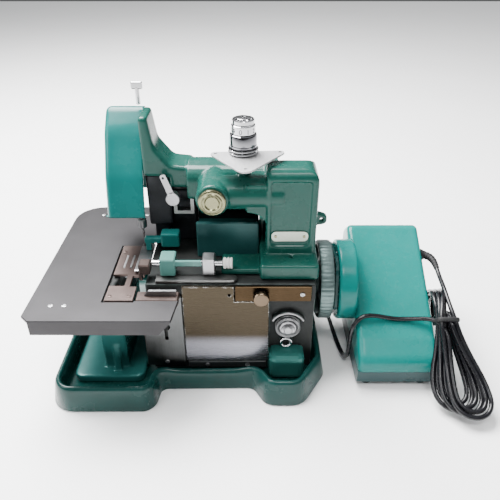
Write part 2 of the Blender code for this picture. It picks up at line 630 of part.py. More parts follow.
def build_motor_box():
    outline = box_outline()
    shell = prism("x", outline, BOX_LEFT, BOX_RIGHT, 2.5, 3)
    middle = inset(outline, WALL)
    lower = [(a, b - 8.0) if b < SEAM + 4 else (a, b) for a, b in middle]
    shell = cut(shell, prism("x", lower, BOX_LEFT + WALL, BOX_RIGHT - WALL),
                rod("x", (MOTOR_Y, MOTOR_Z), BOX_LEFT - 5, BOX_LEFT + 5, 6.0, 24),
                rod("x", (25.0, 84.0), BOX_RIGHT - 5, BOX_RIGHT + 5, 3.6, 20))
    place("motor_cover", shell, "teal")
    pan = prism("x", rounded([(-72, 3.3, 6), (65, 3.3, 6), (67.5, SEAM - GAP, 0),
                              (-74.5, SEAM - GAP, 0)], 4), BOX_LEFT, BOX_RIGHT, 1.0, 2)
    pan = cut(pan, box(BOX_LEFT + WALL, BOX_RIGHT - WALL, -69, 62, 6.0, 40))
    place("motor_pan", pan, "teal")
    for name, x, y in (("motor_foot_fl", 114, -62), ("motor_foot_fr", 165, -62),
                       ("motor_foot_bl", 114, 55), ("motor_foot_br", 165, 55)):
        place(name, rod("z", (x, y), 0.0, 3.0, 6.0, 20, 0.6), "black")
    body = rod("x", (MOTOR_Y, MOTOR_Z), 112.0 + GAP, 162.0, MOTOR_R, 28, 3.0)
    stand = box(118, 156, MOTOR_Y - 16, MOTOR_Y + 16, 6.3, 24, 0.5, 1)
    place("motor", fuse(body, stand), "dark")
    gland = lathe("x", (25.0, 84.0), [
        (171.0, 0.0), (171.0, 3.2), (175.3, 3.2), (175.3, 6.0), (178.0, 5.0), (178.0, 0.0)], 24)
    place("cord_gland", gland, "black")


# ---------------------------------------------------------------- cord

def smooth_route(points, count):
    """Even points along a Catmull-Rom curve through hand-set route points."""
    pts = [Vector(p) for p in points]
    pts = [pts[0] * 2 - pts[1]] + pts + [pts[-1] * 2 - pts[-2]]
    fine = []
    for i in range(1, len(pts) - 2):
        p0, p1, p2, p3 = pts[i - 1:i + 3]
        for k in range(24):
            t = k / 24
            fine.append(0.5 * ((2 * p1) + (p2 - p0) * t + (2 * p0 - 5 * p1 + 4 * p2 - p3) * t * t
                               + (3 * p1 - p0 - 3 * p2 + p3) * t * t * t))
    fine.append(pts[-2])
    run = [0.0]
    for a, b in zip(fine, fine[1:]):
        run.append(run[-1] + (b - a).length)
    even = []
    seek = 0
    for k in range(count):
        target = run[-1] * k / (count - 1)
        while seek < len(run) - 2 and run[seek + 1] < target:
            seek += 1
        part = (target - run[seek]) / max(1e-9, run[seek + 1] - run[seek])
        even.append(fine[seek].lerp(fine[seek + 1], min(1.0, part)))
    return even


def cord_piece(name, points, count):
    curve = bpy.data.curves.new(name, 'CURVE')
    curve.dimensions = '3D'
    curve.bevel_depth = CORD_R * MM
    curve.bevel_resolution = 2
    curve.use_fill_caps = True
    spline = curve.splines.new('POLY')
    route = smooth_route(points, count)
    spline.points.add(len(route) - 1)
    for slot, point in zip(spline.points, route):
        slot.co = (point.x * MM, point.y * MM, point.z * MM, 1.0)
    colour, metal, rough = FINISH["black"]
    curve.materials.append(material(name + "_finish", colour, metal, rough))
    item = bpy.data.objects.new(name, curve)
    bpy.context.scene.collection.objects.link(item)


LEAD_ROUTE = [(179.0, 25, 84), (182.6, 24.8, 84.2), (186.2, 19, 83.6), (187.2, 9, 81.2), (187.4, 2, 79.0)]
TAIL_ROUTE = [(173.6, -49.4, 61.4), (168, -46.5, 60.2), (150, -43.8, 57.6), (137, -43.2, 57.2),
              (122, -42.6, 60.4), (110, -43.2, 61.4), (103.5, -45.5, 58.8), (98.9, -48, 50),
              (98.2, -49, 37), (98.2, -47, 20), (97.8, -38, 5.2), (95, -22, 2.6), (92, 5, 2.6),
              (90, 30, 2.6), (89, 50, 5.0), (89, 61, 8.0)]
# Middle line of the hank: two bends that meet at the tie
HANK_BACK, HANK_ARCH, HANK_TIE = (186.0, 8.0, 26.0), (185.0, -34.0, 71.0), (182.5, -52.0, 62.5)
HANK_KNEE, HANK_END = (190.0, -80.0, 24.0), (192.5, -121.0, 6.6)
TIE_AT = 0.46
# Places along the hank with its half width across and its half width outwards
HANK_SIZES = (
    (0.0, 6.0, 8.0), (0.08, 6.6, 17.0), (0.20, 6.6, 19.0), (0.34, 8.0, 12.0), (TIE_AT, 9.9, 7.9),
    (0.56, 14.0, 7.6), (0.68, 21.0, 7.0), (0.82, 26.5, 6.6), (0.93, 26.5, 6.4), (1.0, 14.0, 5.4))
HANK_SIDES = 18


def bend(start, knee, end, s):
    """Point on the quadratic curve from start to end that leaves and arrives towards knee."""
    a, b, c = Vector(start), Vector(knee), Vector(end)
    return a * (1 - s) ** 2 + b * 2 * s * (1 - s) + c * s ** 2


def hank_centre(t):
    if t < TIE_AT:
        return bend(HANK_BACK, HANK_ARCH, HANK_TIE, t / TIE_AT)
    return bend(HANK_TIE, HANK_KNEE, HANK_END, (t - TIE_AT) / (1 - TIE_AT))


def build_hank():
    """Closed skin of ellipses round the bundled loops, kept off the floor and the box wall."""
    verts = []
    side = Vector((1.0, 0.0, 0.0))
    for t, wide, deep in HANK_SIZES:
        centre = hank_centre(t)
        along = (hank_centre(min(1.0, t + 0.02)) - hank_centre(max(0.0, t - 0.02))).normalized()
        out = side.cross(along).normalized()
        for i in range(HANK_SIDES):
            turn = 2 * math.pi * i / HANK_SIDES
            p = centre + side * (wide * math.cos(turn)) + out * (deep * math.sin(turn))
            verts.append((max(p.x, BOX_RIGHT + 2 * GAP), p.y, max(p.z, GAP)))
    last = len(HANK_SIZES) - 1
    faces = [tuple(range(HANK_SIDES)), tuple(range(last * HANK_SIDES, (last + 1) * HANK_SIDES))]
    for r in range(last):
        for i in range(HANK_SIDES):
            j = (i + 1) % HANK_SIDES
            low, high = r * HANK_SIDES, (r + 1) * HANK_SIDES
            faces.append((low + i, low + j, high + j, high + i))
    place("cord_hank", mesh_from(verts, faces), "black")


def build_cord():
    cord_piece("cord_lead", LEAD_ROUTE, 14)
    cord_piece("cord_tail", TAIL_ROUTE, 46)
    build_hank()
    shell = box(79.5, 98.5, 62.0, 88.0, 0.4, 17.0, 3.0, 3)
    pins = [box(84.0, 86.4, 86.0, 102.0, 6.0, 12.0, 0.5, 1),
            box(91.6, 94.0, 86.0, 102.0, 6.0, 12.0, 0.5, 1)]
    place("cord_plug", fuse(shell, *pins), "black")


def main():
    clear_scene()
    build_tray()
    build_cloth_plate()
    build_bracket()
    build_frame()
    build_front_plates()
    build_regulator()
    build_arm()
    build_head()
    build_needle()
    build_presser()
    build_needle_plate()
    build_knives()
    build_tension()
    build_wheel()
    build_guard()
    build_motor_box()
    build_cord()


main()
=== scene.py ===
# %% [markdown]
# # A portable overlock machine
# The machine stands in a green tray: a cast frame with an arm and a tall head, a grey cloth
# plate, a tension unit on top, a handwheel, and a motor box with its cord in a hank.
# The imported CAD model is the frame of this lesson. It is loaded first, and each cell adds
# a finer surface or a finish to a piece that already has its place.

# %% Load the frame
import json
import math

import bmesh
import bpy
import numpy as np
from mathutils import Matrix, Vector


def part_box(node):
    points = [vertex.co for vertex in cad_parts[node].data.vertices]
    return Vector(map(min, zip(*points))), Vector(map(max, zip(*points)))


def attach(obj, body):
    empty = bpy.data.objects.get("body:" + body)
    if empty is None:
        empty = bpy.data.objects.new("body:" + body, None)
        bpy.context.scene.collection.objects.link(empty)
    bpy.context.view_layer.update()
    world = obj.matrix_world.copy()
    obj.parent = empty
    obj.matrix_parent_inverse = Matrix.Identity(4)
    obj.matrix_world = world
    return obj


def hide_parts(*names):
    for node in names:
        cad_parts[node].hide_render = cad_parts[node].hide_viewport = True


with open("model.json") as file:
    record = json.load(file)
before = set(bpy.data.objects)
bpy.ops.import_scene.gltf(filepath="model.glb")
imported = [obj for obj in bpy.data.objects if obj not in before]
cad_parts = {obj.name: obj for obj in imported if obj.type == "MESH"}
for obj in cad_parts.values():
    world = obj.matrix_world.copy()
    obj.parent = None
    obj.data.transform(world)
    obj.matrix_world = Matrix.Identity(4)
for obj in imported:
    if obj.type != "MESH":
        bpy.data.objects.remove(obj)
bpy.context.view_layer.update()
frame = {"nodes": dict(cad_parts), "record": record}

MM = 0.001


def shown(name, data):
    """Object that holds the data, linked to the scene."""
    made = bpy.data.objects.new(name, data)
    bpy.context.scene.collection.objects.link(made)
    return made


def circle(count):
    """Angles at equal steps round one full turn."""
    return np.linspace(0, 2 * math.pi, count, endpoint=False)


def unit(vectors):
    return vectors / np.linalg.norm(vectors, axis=-1, keepdims=True)


# %% [markdown]
# ## Camera, light and floor
# A small object on a white table is lit by a broad soft window: one large lamp high behind it
# on the left, two weak lamps from the left and the front, and a pale world for the shadows.
# The camera looks down on the front from a little over half a metre away.

# %% Camera
CAMERA_PLACE = (0.005, -0.432, 0.375)
CAMERA_TILT = math.radians(58.0)

camera = shown("camera", bpy.data.cameras.new("camera"))
camera.data.sensor_width = 36.0
camera.data.lens = 38.9
camera.location = CAMERA_PLACE
camera.rotation_euler = (CAMERA_TILT, 0.0, 0.0)
bpy.context.scene.camera = camera


# %% Lamps and world
def soft_lamp(name, place, target, size, power):
    """Square area lamp at a place, turned so that its -Z axis points at the target."""
    lamp = shown(name, bpy.data.lights.new(name, 'AREA'))
    lamp.data.energy = power
    lamp.data.size = size
    lamp.location = place
    aim = np.array(target) - np.array(place)
    flat = math.hypot(aim[0], aim[1])
    lamp.rotation_euler = (math.atan2(flat, -aim[2]), 0.0, math.atan2(aim[1], aim[0]) - math.pi / 2)


soft_lamp("window_lamp", (-0.42, 0.36, 1.16), (0.0, 0.0, 0.05), 0.85, 104.0)
soft_lamp("left_lamp", (-1.00, -0.45, 0.75), (0.0, 0.0, 0.12), 0.5, 7.0)
soft_lamp("front_lamp", (0.10, -0.60, 1.00), (0.03, 0.0, 0.12), 0.28, 5.0)


# %% World with a dim horizon
def room():
    """Light rises from a dim band at the horizon to full strength overhead: the sine of the
    height angle is the upright part of the viewing direction."""
    made = bpy.data.worlds.new("pale_room")
    made.use_nodes = True
    tree = made.node_tree
    shade = tree.nodes["Background"]
    sight = tree.nodes.new('ShaderNodeNewGeometry')
    split = tree.nodes.new('ShaderNodeSeparateXYZ')
    height = tree.nodes.new('ShaderNodeMath')
    height.operation = 'ABSOLUTE'
    reach = tree.nodes.new('ShaderNodeMapRange')
    for k, value in ((1, 0.05), (2, 0.75), (3, 0.06), (4, 0.75)):
        reach.inputs[k].default_value = value
    tree.links.new(sight.outputs["Incoming"], split.inputs[0])
    tree.links.new(split.outputs["Z"], height.inputs[0])
    tree.links.new(height.outputs[0], reach.inputs[0])
    tree.links.new(reach.outputs[0], shade.inputs["Strength"])
    shade.inputs["Color"].default_value = (0.97, 0.985, 1.0, 1.0)
    return made


bpy.context.scene.world = room()


# %% [markdown]
# ## Helpers for surfaces
# Nearly every piece is a grid of points: rows run along the piece and columns run round it.
# One function turns such a grid into a closed mesh. Outlines with rounded corners are arcs
# between straight runs, so a corner list with radii is enough to state them.

# %% Grid to mesh
def mesh_piece(name, points, faces, sharp=32.0):
    """Object from points in millimetres and faces, with outward faces and smooth shading."""
    mesh = bpy.data.meshes.new(name)
    mesh.from_pydata((np.asarray(points, float) * MM).tolist(), [], faces)
    work = bmesh.new()
    work.from_mesh(mesh)
    bmesh.ops.remove_doubles(work, verts=work.verts, dist=2e-6)
    bmesh.ops.dissolve_degenerate(work, edges=work.edges, dist=1e-6)
    bmesh.ops.recalc_face_normals(work, faces=work.faces)
    work.to_mesh(mesh)
    work.free()
    mesh.shade_smooth()
    mesh.set_sharp_from_angle(angle=math.radians(sharp))
    return shown(name, mesh)


def grid_faces(rows, columns, closed_rows, closed_columns):
    """Quads (i, j), (i+1, j), (i+1, j+1), (i, j+1) over a grid, wrapping where closed."""
    i = np.arange(rows if closed_rows else rows - 1)[:, None]
    j = np.arange(columns if closed_columns else columns - 1)[None, :]
    i2, j2 = (i + 1) % rows, (j + 1) % columns
    quads = np.stack(np.broadcast_arrays(i * columns + j, i2 * columns + j,
                                         i2 * columns + j2, i * columns + j2), axis=-1)
    return quads.reshape(-1, 4).tolist()


def grid_piece(name, grid, closed_rows=False, closed_columns=True, caps=True, sharp=32.0):
    """Surface through a (rows, columns, 3) grid; caps close the first and the last row."""
    rows, columns = grid.shape[:2]
    faces = grid_faces(rows, columns, closed_rows, closed_columns)
    if caps:
        faces.append(list(range(columns)))
        faces.append(list(range((rows - 1) * columns, rows * columns)))
    return mesh_piece(name, grid.reshape(-1, 3), faces, sharp)


# %% Outlines, insets and turned shapes
def fillet(corners, steps=12):
    """Outline with each corner (a, b, radius) replaced by the arc that touches both sides."""
    runs = []
    for k, (a, b, radius) in enumerate(corners):
        here = np.array((a, b), float)
        back = np.array(corners[k - 1][:2], float) - here
        on = np.array(corners[(k + 1) % len(corners)][:2], float) - here
        back, on = back / np.linalg.norm(back), on / np.linalg.norm(on)
        if radius <= 0:
            runs.append(here[None, :])
            continue
        half = math.acos(np.clip(back @ on, -1, 1)) / 2
        middle = here + (back + on) / np.linalg.norm(back + on) * radius / math.sin(half)
        first = here + back * radius / math.tan(half) - middle
        last = here + on * radius / math.tan(half) - middle
        start = math.atan2(first[1], first[0])
        sweep = (math.atan2(last[1], last[0]) - start + math.pi) % (2 * math.pi) - math.pi
        turn = start + sweep * np.linspace(0, 1, steps + 1)
        runs.append(middle + radius * np.stack([np.cos(turn), np.sin(turn)], axis=1))
    return np.concatenate(runs)


def even(outline, count, closed=True):
    """The same outline with points at equal distances along it."""
    path = np.vstack([outline, outline[:1]]) if closed else outline
    run = np.concatenate([[0], np.cumsum(np.linalg.norm(np.diff(path, axis=0), axis=1))])
    at = np.linspace(0, run[-1], count + 1)[:-1] if closed else np.linspace(0, run[-1], count)
    return np.stack([np.interp(at, run, path[:, c]) for c in range(path.shape[1])], axis=1)


def inward(outline, closed=True):
    """Unit normals that point to the left of the walking direction."""
    if closed:
        step = np.roll(outline, -1, axis=0) - np.roll(outline, 1, axis=0)
    else:
        step = np.gradient(outline, axis=0)
    step = unit(step)
    return np.stack([-step[:, 1], step[:, 0]], axis=1)


def on_axis(axis, a, b, c):
    """Points from in-plane pairs (a, b) and a height c along the named axis."""
    order = {"x": (c, a, b), "y": (a, c, b), "z": (a, b, c)}[axis]
    return np.stack(np.broadcast_arrays(*order), axis=-1)


def turned(name, axis, centre, profile, sides=96, ripple=None, start=0.0, way=1):
    """Profile of (along, radius) turned about an axis, measured from start in the sense of way;
    ripple(turn, radius) adds to the radius."""
    along = start + way * np.array([p[0] for p in profile], float)[:, None]
    radius = np.array([p[1] for p in profile], float)[:, None]
    turn = circle(sides)[None, :]
    if ripple:
        radius = radius + ripple(turn, radius)
    grid = on_axis(axis, centre[0] + radius * np.cos(turn), centre[1] + radius * np.sin(turn), along)
    hollow = profile[0][1] > 0
    return grid_piece(name, grid, closed_rows=hollow, caps=False)


def tube_rings(path, along, guide, radius, sides):
    """Rings of a tube square to its path; each ring starts in the direction along x guide."""
    along = unit(along)
    first = unit(np.cross(along, np.array(guide)))
    second = np.cross(along, first)
    turn = circle(sides)
    return path[:, None] + radius[:, None, None] * (
        first[:, None] * np.cos(turn)[None, :, None] + second[:, None] * np.sin(turn)[None, :, None])


def box_mm(node):
    """Lowest and highest corner of a CAD node in millimetres."""
    low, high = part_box(node)
    return np.array(low) / MM, np.array(high) / MM


# %% [markdown]
# ## Shared effects
# Real paint and metal are never one flat tone. Four node groups give the effects that many
# finishes share: slow colour clouds, fine drawn lines, a mask along edges, and dust that
# settles on faces turned up. They put out colours and masks, and each finish mixes them.

# %% Node groups
def new_group(name, inputs, outputs):
    """Empty shader group with named input and output sockets."""
    tree = bpy.data.node_groups.new(name, 'ShaderNodeTree')
    for label, kind, value in inputs:
        socket = tree.interface.new_socket(label, in_out='INPUT', socket_type=kind)
        socket.default_value = value
    for label, kind in outputs:
        tree.interface.new_socket(label, in_out='OUTPUT', socket_type=kind)
    return tree, tree.nodes.new('NodeGroupInput'), tree.nodes.new('NodeGroupOutput')


def node(tree, kind, **settings):
    """A node with its properties and its plain socket values set."""
    made = tree.nodes.new(kind)
    for key, value in settings.items():
        if key.startswith("in_"):
            made.inputs[int(key[3:])].default_value = value
        else:
            setattr(made, key, value)
    return made


def join(tree, source, target):
    tree.links.new(source, target)


def noise_on(tree, **settings):
    """Noise on the coordinates of the object itself."""
    place = node(tree, 'ShaderNodeTexCoord')
    noise = node(tree, 'ShaderNodeTexNoise', **settings)
    join(tree, place.outputs["Object"], noise.inputs["Vector"])
    return noise


def parts_of(tree, vector):
    """X, Y and Z outputs of a vector output."""
    split = node(tree, 'ShaderNodeSeparateXYZ')
    join(tree, vector, split.inputs[0])
    return split.outputs


def between(tree, value, low, high, **settings):
    """0 at low and 1 at high, held outside."""
    reach = node(tree, 'ShaderNodeMapRange', in_1=low, in_2=high, **settings)
    join(tree, value, reach.inputs[0])
    return reach.outputs[0]


def times(tree, first, second):
    """Product of two outputs."""
    made = node(tree, 'ShaderNodeMath', operation='MULTIPLY')
    join(tree, first, made.inputs[0])
    join(tree, second, made.inputs[1])
    return made.outputs[0]


def mixed(tree, mask, none, full):
    """Colour none where the mask is 0 and full where it is 1; each is an output or a colour."""
    mix = node(tree, 'ShaderNodeMix', data_type='RGBA')
    join(tree, mask, mix.inputs[0])
    for socket, colour in ((mix.inputs[6], none), (mix.inputs[7], full)):
        if isinstance(colour, tuple):
            socket.default_value = colour
        else:
            join(tree, colour, socket)
    return mix.outputs[2]


def clouds_group():
    """Noise stretched to a mask, and that mask as a mix of two colours."""
    tree, start, end = new_group("colour_clouds", [
        ("Dark", 'NodeSocketColor', (0, 0, 0, 1)), ("Light", 'NodeSocketColor', (1, 1, 1, 1)),
        ("Scale", 'NodeSocketFloat', 20.0)], [("Color", 'NodeSocketColor'), ("Mask", 'NodeSocketFloat')])
    noise = noise_on(tree, in_3=5.0, in_4=0.62)
    join(tree, start.outputs["Scale"], noise.inputs["Scale"])
    mask = between(tree, noise.outputs[0], 0.32, 0.68)
    join(tree, mixed(tree, mask, start.outputs["Dark"], start.outputs["Light"]), end.inputs["Color"])
    join(tree, mask, end.inputs["Mask"])
    return tree


def lines_group():
    """Noise on stretched coordinates: long fine lines across the axis with the largest stretch."""
    tree, start, end = new_group("drawn_lines", [
        ("Stretch", 'NodeSocketVector', (40.0, 900.0, 900.0))], [("Mask", 'NodeSocketFloat')])
    place = node(tree, 'ShaderNodeTexCoord')
    scale = node(tree, 'ShaderNodeVectorMath', operation='MULTIPLY')
    join(tree, place.outputs["Object"], scale.inputs[0])
    join(tree, start.outputs["Stretch"], scale.inputs[1])
    noise = node(tree, 'ShaderNodeTexNoise', in_2=1.0, in_3=3.0, in_4=0.7)
    join(tree, scale.outputs[0], noise.inputs["Vector"])
    join(tree, noise.outputs[0], end.inputs["Mask"])
    return tree


def edge_group():
    """Difference between the true normal and a rounded one, broken up by noise."""
    tree, start, end = new_group("edge_mask", [
        ("Radius", 'NodeSocketFloat', 0.0012), ("Break", 'NodeSocketFloat', 160.0)],
        [("Mask", 'NodeSocketFloat')])
    bevel = node(tree, 'ShaderNodeBevel', samples=4)
    join(tree, start.outputs["Radius"], bevel.inputs["Radius"])
    plain = node(tree, 'ShaderNodeNewGeometry')
    dot = node(tree, 'ShaderNodeVectorMath', operation='DOT_PRODUCT')
    join(tree, bevel.outputs[0], dot.inputs[0])
    join(tree, plain.outputs["Normal"], dot.inputs[1])
    noise = noise_on(tree, in_3=3.0)
    join(tree, start.outputs["Break"], noise.inputs["Scale"])
    rim = between(tree, dot.outputs["Value"], 0.995, 0.86)
    join(tree, times(tree, rim, between(tree, noise.outputs[0], 0.42, 0.62)), end.inputs["Mask"])
    return tree


def dust_group():
    """How far a face looks up, times fine speckles."""
    tree, start, end = new_group("settled_dust", [
        ("Amount", 'NodeSocketFloat', 0.3)], [("Mask", 'NodeSocketFloat')])
    plain = node(tree, 'ShaderNodeNewGeometry')
    up = between(tree, parts_of(tree, plain.outputs["Normal"])["Z"], 0.3, 1.0)
    noise = noise_on(tree, in_2=260.0, in_3=4.0, in_4=0.7)
    speckles = times(tree, up, between(tree, noise.outputs[0], 0.5, 0.72))
    join(tree, times(tree, speckles, start.outputs["Amount"]), end.inputs["Mask"])
    return tree


CLOUDS, LINES, EDGES, DUST = clouds_group(), lines_group(), edge_group(), dust_group()
print("shared effects:", [g.name for g in (CLOUDS, LINES, EDGES, DUST)])


# %% [markdown]
# ## Finishes
# The castings and covers are sprayed with a glossy sea-green enamel over primer. It shows a faint
# orange peel and lighter rims: partly rubbed paint, partly painted edge highlight. The plates are
# ground steel with drawn lines, small parts are chromed, and hidden castings are dark and oily.

# %% Shader start and shared parts
def shader_start(name, metallic=0.0, roughness=0.4, coat=0.0, specular=0.5):
    """Material with its Principled node and the constants that hold all over the surface."""
    made = bpy.data.materials.new(name)
    made.use_nodes = True
    tree = made.node_tree
    shader = tree.nodes["Principled BSDF"]
    for label, value in (("Metallic", metallic), ("Roughness", roughness), ("Coat Weight", coat),
                         ("Coat Roughness", 0.08), ("Specular IOR Level", specular)):
        shader.inputs[label].default_value = value
    return made, tree, shader


def use(tree, group, **values):
    """A group placed in a material, with its input values."""
    placed = tree.nodes.new('ShaderNodeGroup')
    placed.node_tree = group
    for key, value in values.items():
        placed.inputs[key].default_value = value
    return placed


TONE = 0.68                    # share of light that every finish keeps under the bright lamps


def rgb(colour):
    return (colour[0] * TONE, colour[1] * TONE, colour[2] * TONE, 1.0)


def blend_over(tree, base, mask, colour):
    """Mixes a plain colour over a colour output where the mask is one."""
    return mixed(tree, mask, base, rgb(colour))


def ranged(tree, value, low, high):
    """Maps a mask from 0..1 to low..high."""
    reach = node(tree, 'ShaderNodeMapRange', in_3=low, in_4=high)
    join(tree, value, reach.inputs[0])
    return reach.outputs[0]


def surfaced(tree, shader, colour, mask, low, high):
    """Connects a colour, and a roughness that goes from low to high with the mask."""
    join(tree, colour, shader.inputs["Base Color"])
    join(tree, ranged(tree, mask, low, high), shader.inputs["Roughness"])


def bumped(tree, shader, height, strength, distance=0.0002):
    bump = node(tree, 'ShaderNodeBump')
    bump.inputs["Strength"].default_value = strength
    bump.inputs["Distance"].default_value = distance
    join(tree, height, bump.inputs["Height"])
    join(tree, bump.outputs[0], shader.inputs["Normal"])


# %% Enamel, steel, chrome and the rest
def enamel(name, light, dark, rim_wear_and_highlight, scale=18.0):
    """Sprayed paint: colour clouds, lighter rims (rubbed paint and painted edge highlight), dust, and a
    fine orange peel.
    """
    made, tree, shader = shader_start(name, 0.0, 0.3, coat=0.06, specular=0.2)
    clouds = use(tree, CLOUDS, Dark=rgb(dark), Light=rgb(light), Scale=scale)
    edges = use(tree, EDGES, Radius=0.0011)
    # Lighter rims along the edges: partly rubbed paint, partly painted edge highlight.
    soft = node(tree, 'ShaderNodeMath', operation='MULTIPLY', in_1=0.35)
    join(tree, edges.outputs[0], soft.inputs[0])
    colour = blend_over(tree, clouds.outputs["Color"], soft.outputs[0], rim_wear_and_highlight)
    dust = use(tree, DUST, Amount=0.05)
    colour = blend_over(tree, colour, dust.outputs[0], (0.42, 0.50, 0.47))
    surfaced(tree, shader, colour, clouds.outputs["Mask"], 0.20, 0.32)
    bumped(tree, shader, noise_on(tree, in_2=420.0, in_3=2.0).outputs[0], 0.05)
    return made


def drawn_steel(name, light, dark, stretch, rough=(0.26, 0.42), metallic=1.0, line_bump=0.12):
    """Ground metal: drawn lines over colour clouds, with brighter rims of worn metal and painted edge
    highlight.
    """
    made, tree, shader = shader_start(name, metallic, 0.35)
    clouds = use(tree, CLOUDS, Dark=rgb(dark), Light=rgb(light), Scale=26.0)
    lines = use(tree, LINES, Stretch=stretch)
    tone = node(tree, 'ShaderNodeMix', data_type='RGBA', blend_type='MULTIPLY')
    tone.inputs[0].default_value = 0.5
    join(tree, clouds.outputs["Color"], tone.inputs[6])
    shade = node(tree, 'ShaderNodeCombineColor')
    level = ranged(tree, lines.outputs[0], 0.55, 1.35)
    for k in range(3):
        join(tree, level, shade.inputs[k])
    join(tree, shade.outputs[0], tone.inputs[7])
    # Brighter rims along the edges: worn metal and painted edge highlight.
    edges = use(tree, EDGES, Radius=0.0007, Break=240.0)
    rim = tuple(min(0.9, v * 1.5) for v in light)
    colour = blend_over(tree, tone.outputs[2], edges.outputs[0], rim)
    surfaced(tree, shader, colour, lines.outputs[0], *rough)
    bumped(tree, shader, lines.outputs[0], line_bump, 0.0001)
    return made


def bright_metal(name, colour, rough=(0.06, 0.16)):
    """Plated metal with faint smudges in its gloss."""
    made, tree, shader = shader_start(name, 1.0, 0.1)
    clouds = use(tree, CLOUDS, Dark=rgb([v * 0.86 for v in colour]), Light=rgb(colour), Scale=90.0)
    surfaced(tree, shader, clouds.outputs["Color"], clouds.outputs["Mask"], *rough)
    return made


def rough_casting(name, light, dark, metallic=0.25):
    """Sand-cast iron: coarse grain in height, oily patches in the gloss."""
    made, tree, shader = shader_start(name, metallic, 0.5)
    clouds = use(tree, CLOUDS, Dark=rgb(dark), Light=rgb(light), Scale=40.0)
    # Lighter rims along the edges: worn iron and painted edge highlight.
    edges = use(tree, EDGES, Radius=0.0009)
    colour = blend_over(tree, clouds.outputs["Color"], edges.outputs[0], [v * 2.2 + 0.02 for v in light])
    surfaced(tree, shader, colour, clouds.outputs["Mask"], 0.62, 0.34)
    bumped(tree, shader, noise_on(tree, in_2=900.0, in_3=3.0).outputs[0], 0.25)
    return made


def moulded(name, light, dark, rough=(0.3, 0.5), coat=0.0, grain=0.06):
    """Rubber or plastic with a fine mould grain."""
    made, tree, shader = shader_start(name, 0.0, 0.4, coat=coat, specular=0.25)
    clouds = use(tree, CLOUDS, Dark=rgb(dark), Light=rgb(light), Scale=70.0)
    surfaced(tree, shader, clouds.outputs["Color"], clouds.outputs["Mask"], *rough)
    bumped(tree, shader, noise_on(tree, in_2=1400.0, in_3=2.0).outputs[0], grain)
    return made


HEAD_GREEN = enamel("head_enamel", (0.006, 0.180, 0.168), (0.004, 0.130, 0.120), (0.25, 0.52, 0.48))
GREEN = enamel("machine_enamel", (0.008, 0.092, 0.070), (0.005, 0.068, 0.052), (0.18, 0.42, 0.36))
TRAY_GREEN = enamel("tray_enamel", (0.006, 0.062, 0.055), (0.004, 0.042, 0.037), (0.25, 0.38, 0.35))
TEAL = enamel("motor_box_enamel", (0.000, 0.215, 0.192), (0.000, 0.180, 0.160), (0.20, 0.55, 0.50), 12.0)
PAN_GREEN = enamel("pan_enamel", (0.018, 0.060, 0.064), (0.012, 0.042, 0.046), (0.10, 0.30, 0.28), 12.0)
PALE_GREEN = enamel("clamp_enamel", (0.110, 0.290, 0.255), (0.080, 0.220, 0.195), (0.30, 0.50, 0.46))
SHADE_GREEN = enamel("inner_enamel", (0.012, 0.060, 0.058), (0.007, 0.040, 0.040), (0.05, 0.14, 0.13))
CASTING = rough_casting("oily_casting", (0.030, 0.036, 0.036), (0.010, 0.013, 0.014))
BLACK_IRON = rough_casting("black_iron", (0.012, 0.016, 0.022), (0.004, 0.006, 0.009), 0.4)
PLATE = drawn_steel("cloth_plate_steel", (0.044, 0.042, 0.045), (0.033, 0.031, 0.033),
                    (60.0, 700.0, 700.0), (0.34, 0.52), 0.7, 0.05)
PANEL = drawn_steel("side_panel_steel", (0.16, 0.165, 0.165), (0.10, 0.10, 0.10), (800.0, 800.0, 40.0),
                    (0.3, 0.45))
STRIP = drawn_steel("strip_steel", (0.062, 0.040, 0.022), (0.040, 0.026, 0.014), (40.0, 900.0, 900.0),
                    (0.22, 0.34))
BRONZE = drawn_steel("brown_steel", (0.13, 0.095, 0.085), (0.07, 0.05, 0.045), (900.0, 90.0, 900.0),
                     (0.3, 0.48), 0.8)
STEEL = drawn_steel("small_part_steel", (0.56, 0.56, 0.57), (0.42, 0.42, 0.43), (120.0, 900.0, 900.0))
WHEEL = drawn_steel("wheel_rim_steel", (0.21, 0.30, 0.29), (0.14, 0.20, 0.195), (900.0, 60.0, 60.0),
                    (0.34, 0.5), 0.75)
SATIN = drawn_steel("satin_steel", (0.66, 0.66, 0.67), (0.56, 0.56, 0.57), (700.0, 80.0, 700.0),
                    (0.4, 0.55), 0.55)
# The sleeve's chrome is a darker copy of the bright chrome: a painted dark reflection.
DARK_CHROME = bright_metal("shaded_chrome", (0.34, 0.34, 0.36), (0.05, 0.12))
DARK_STEEL = drawn_steel("dull_steel", (0.26, 0.265, 0.26), (0.17, 0.17, 0.165), (90.0, 900.0, 900.0))
CHROME = bright_metal("bright_chrome", (0.83, 0.83, 0.85))
BRASS = bright_metal("dull_brass", (0.30, 0.29, 0.17), (0.2, 0.36))
KNOB = bright_metal("knob_bronze", (0.15, 0.11, 0.075), (0.16, 0.3))
SILVER = bright_metal("badge_silver", (0.50, 0.55, 0.47), (0.3, 0.45))
WHITE = moulded("white_nylon", (0.82, 0.82, 0.79), (0.68, 0.69, 0.66))
RUBBER = moulded("black_rubber", (0.022, 0.022, 0.023), (0.012, 0.012, 0.013), (0.5, 0.7))
CABLE = moulded("cord_sheath", (0.008, 0.008, 0.010), (0.004, 0.004, 0.006), (0.2, 0.32), coat=0.15,
                grain=0.03)
print("finishes:", len(bpy.data.materials))
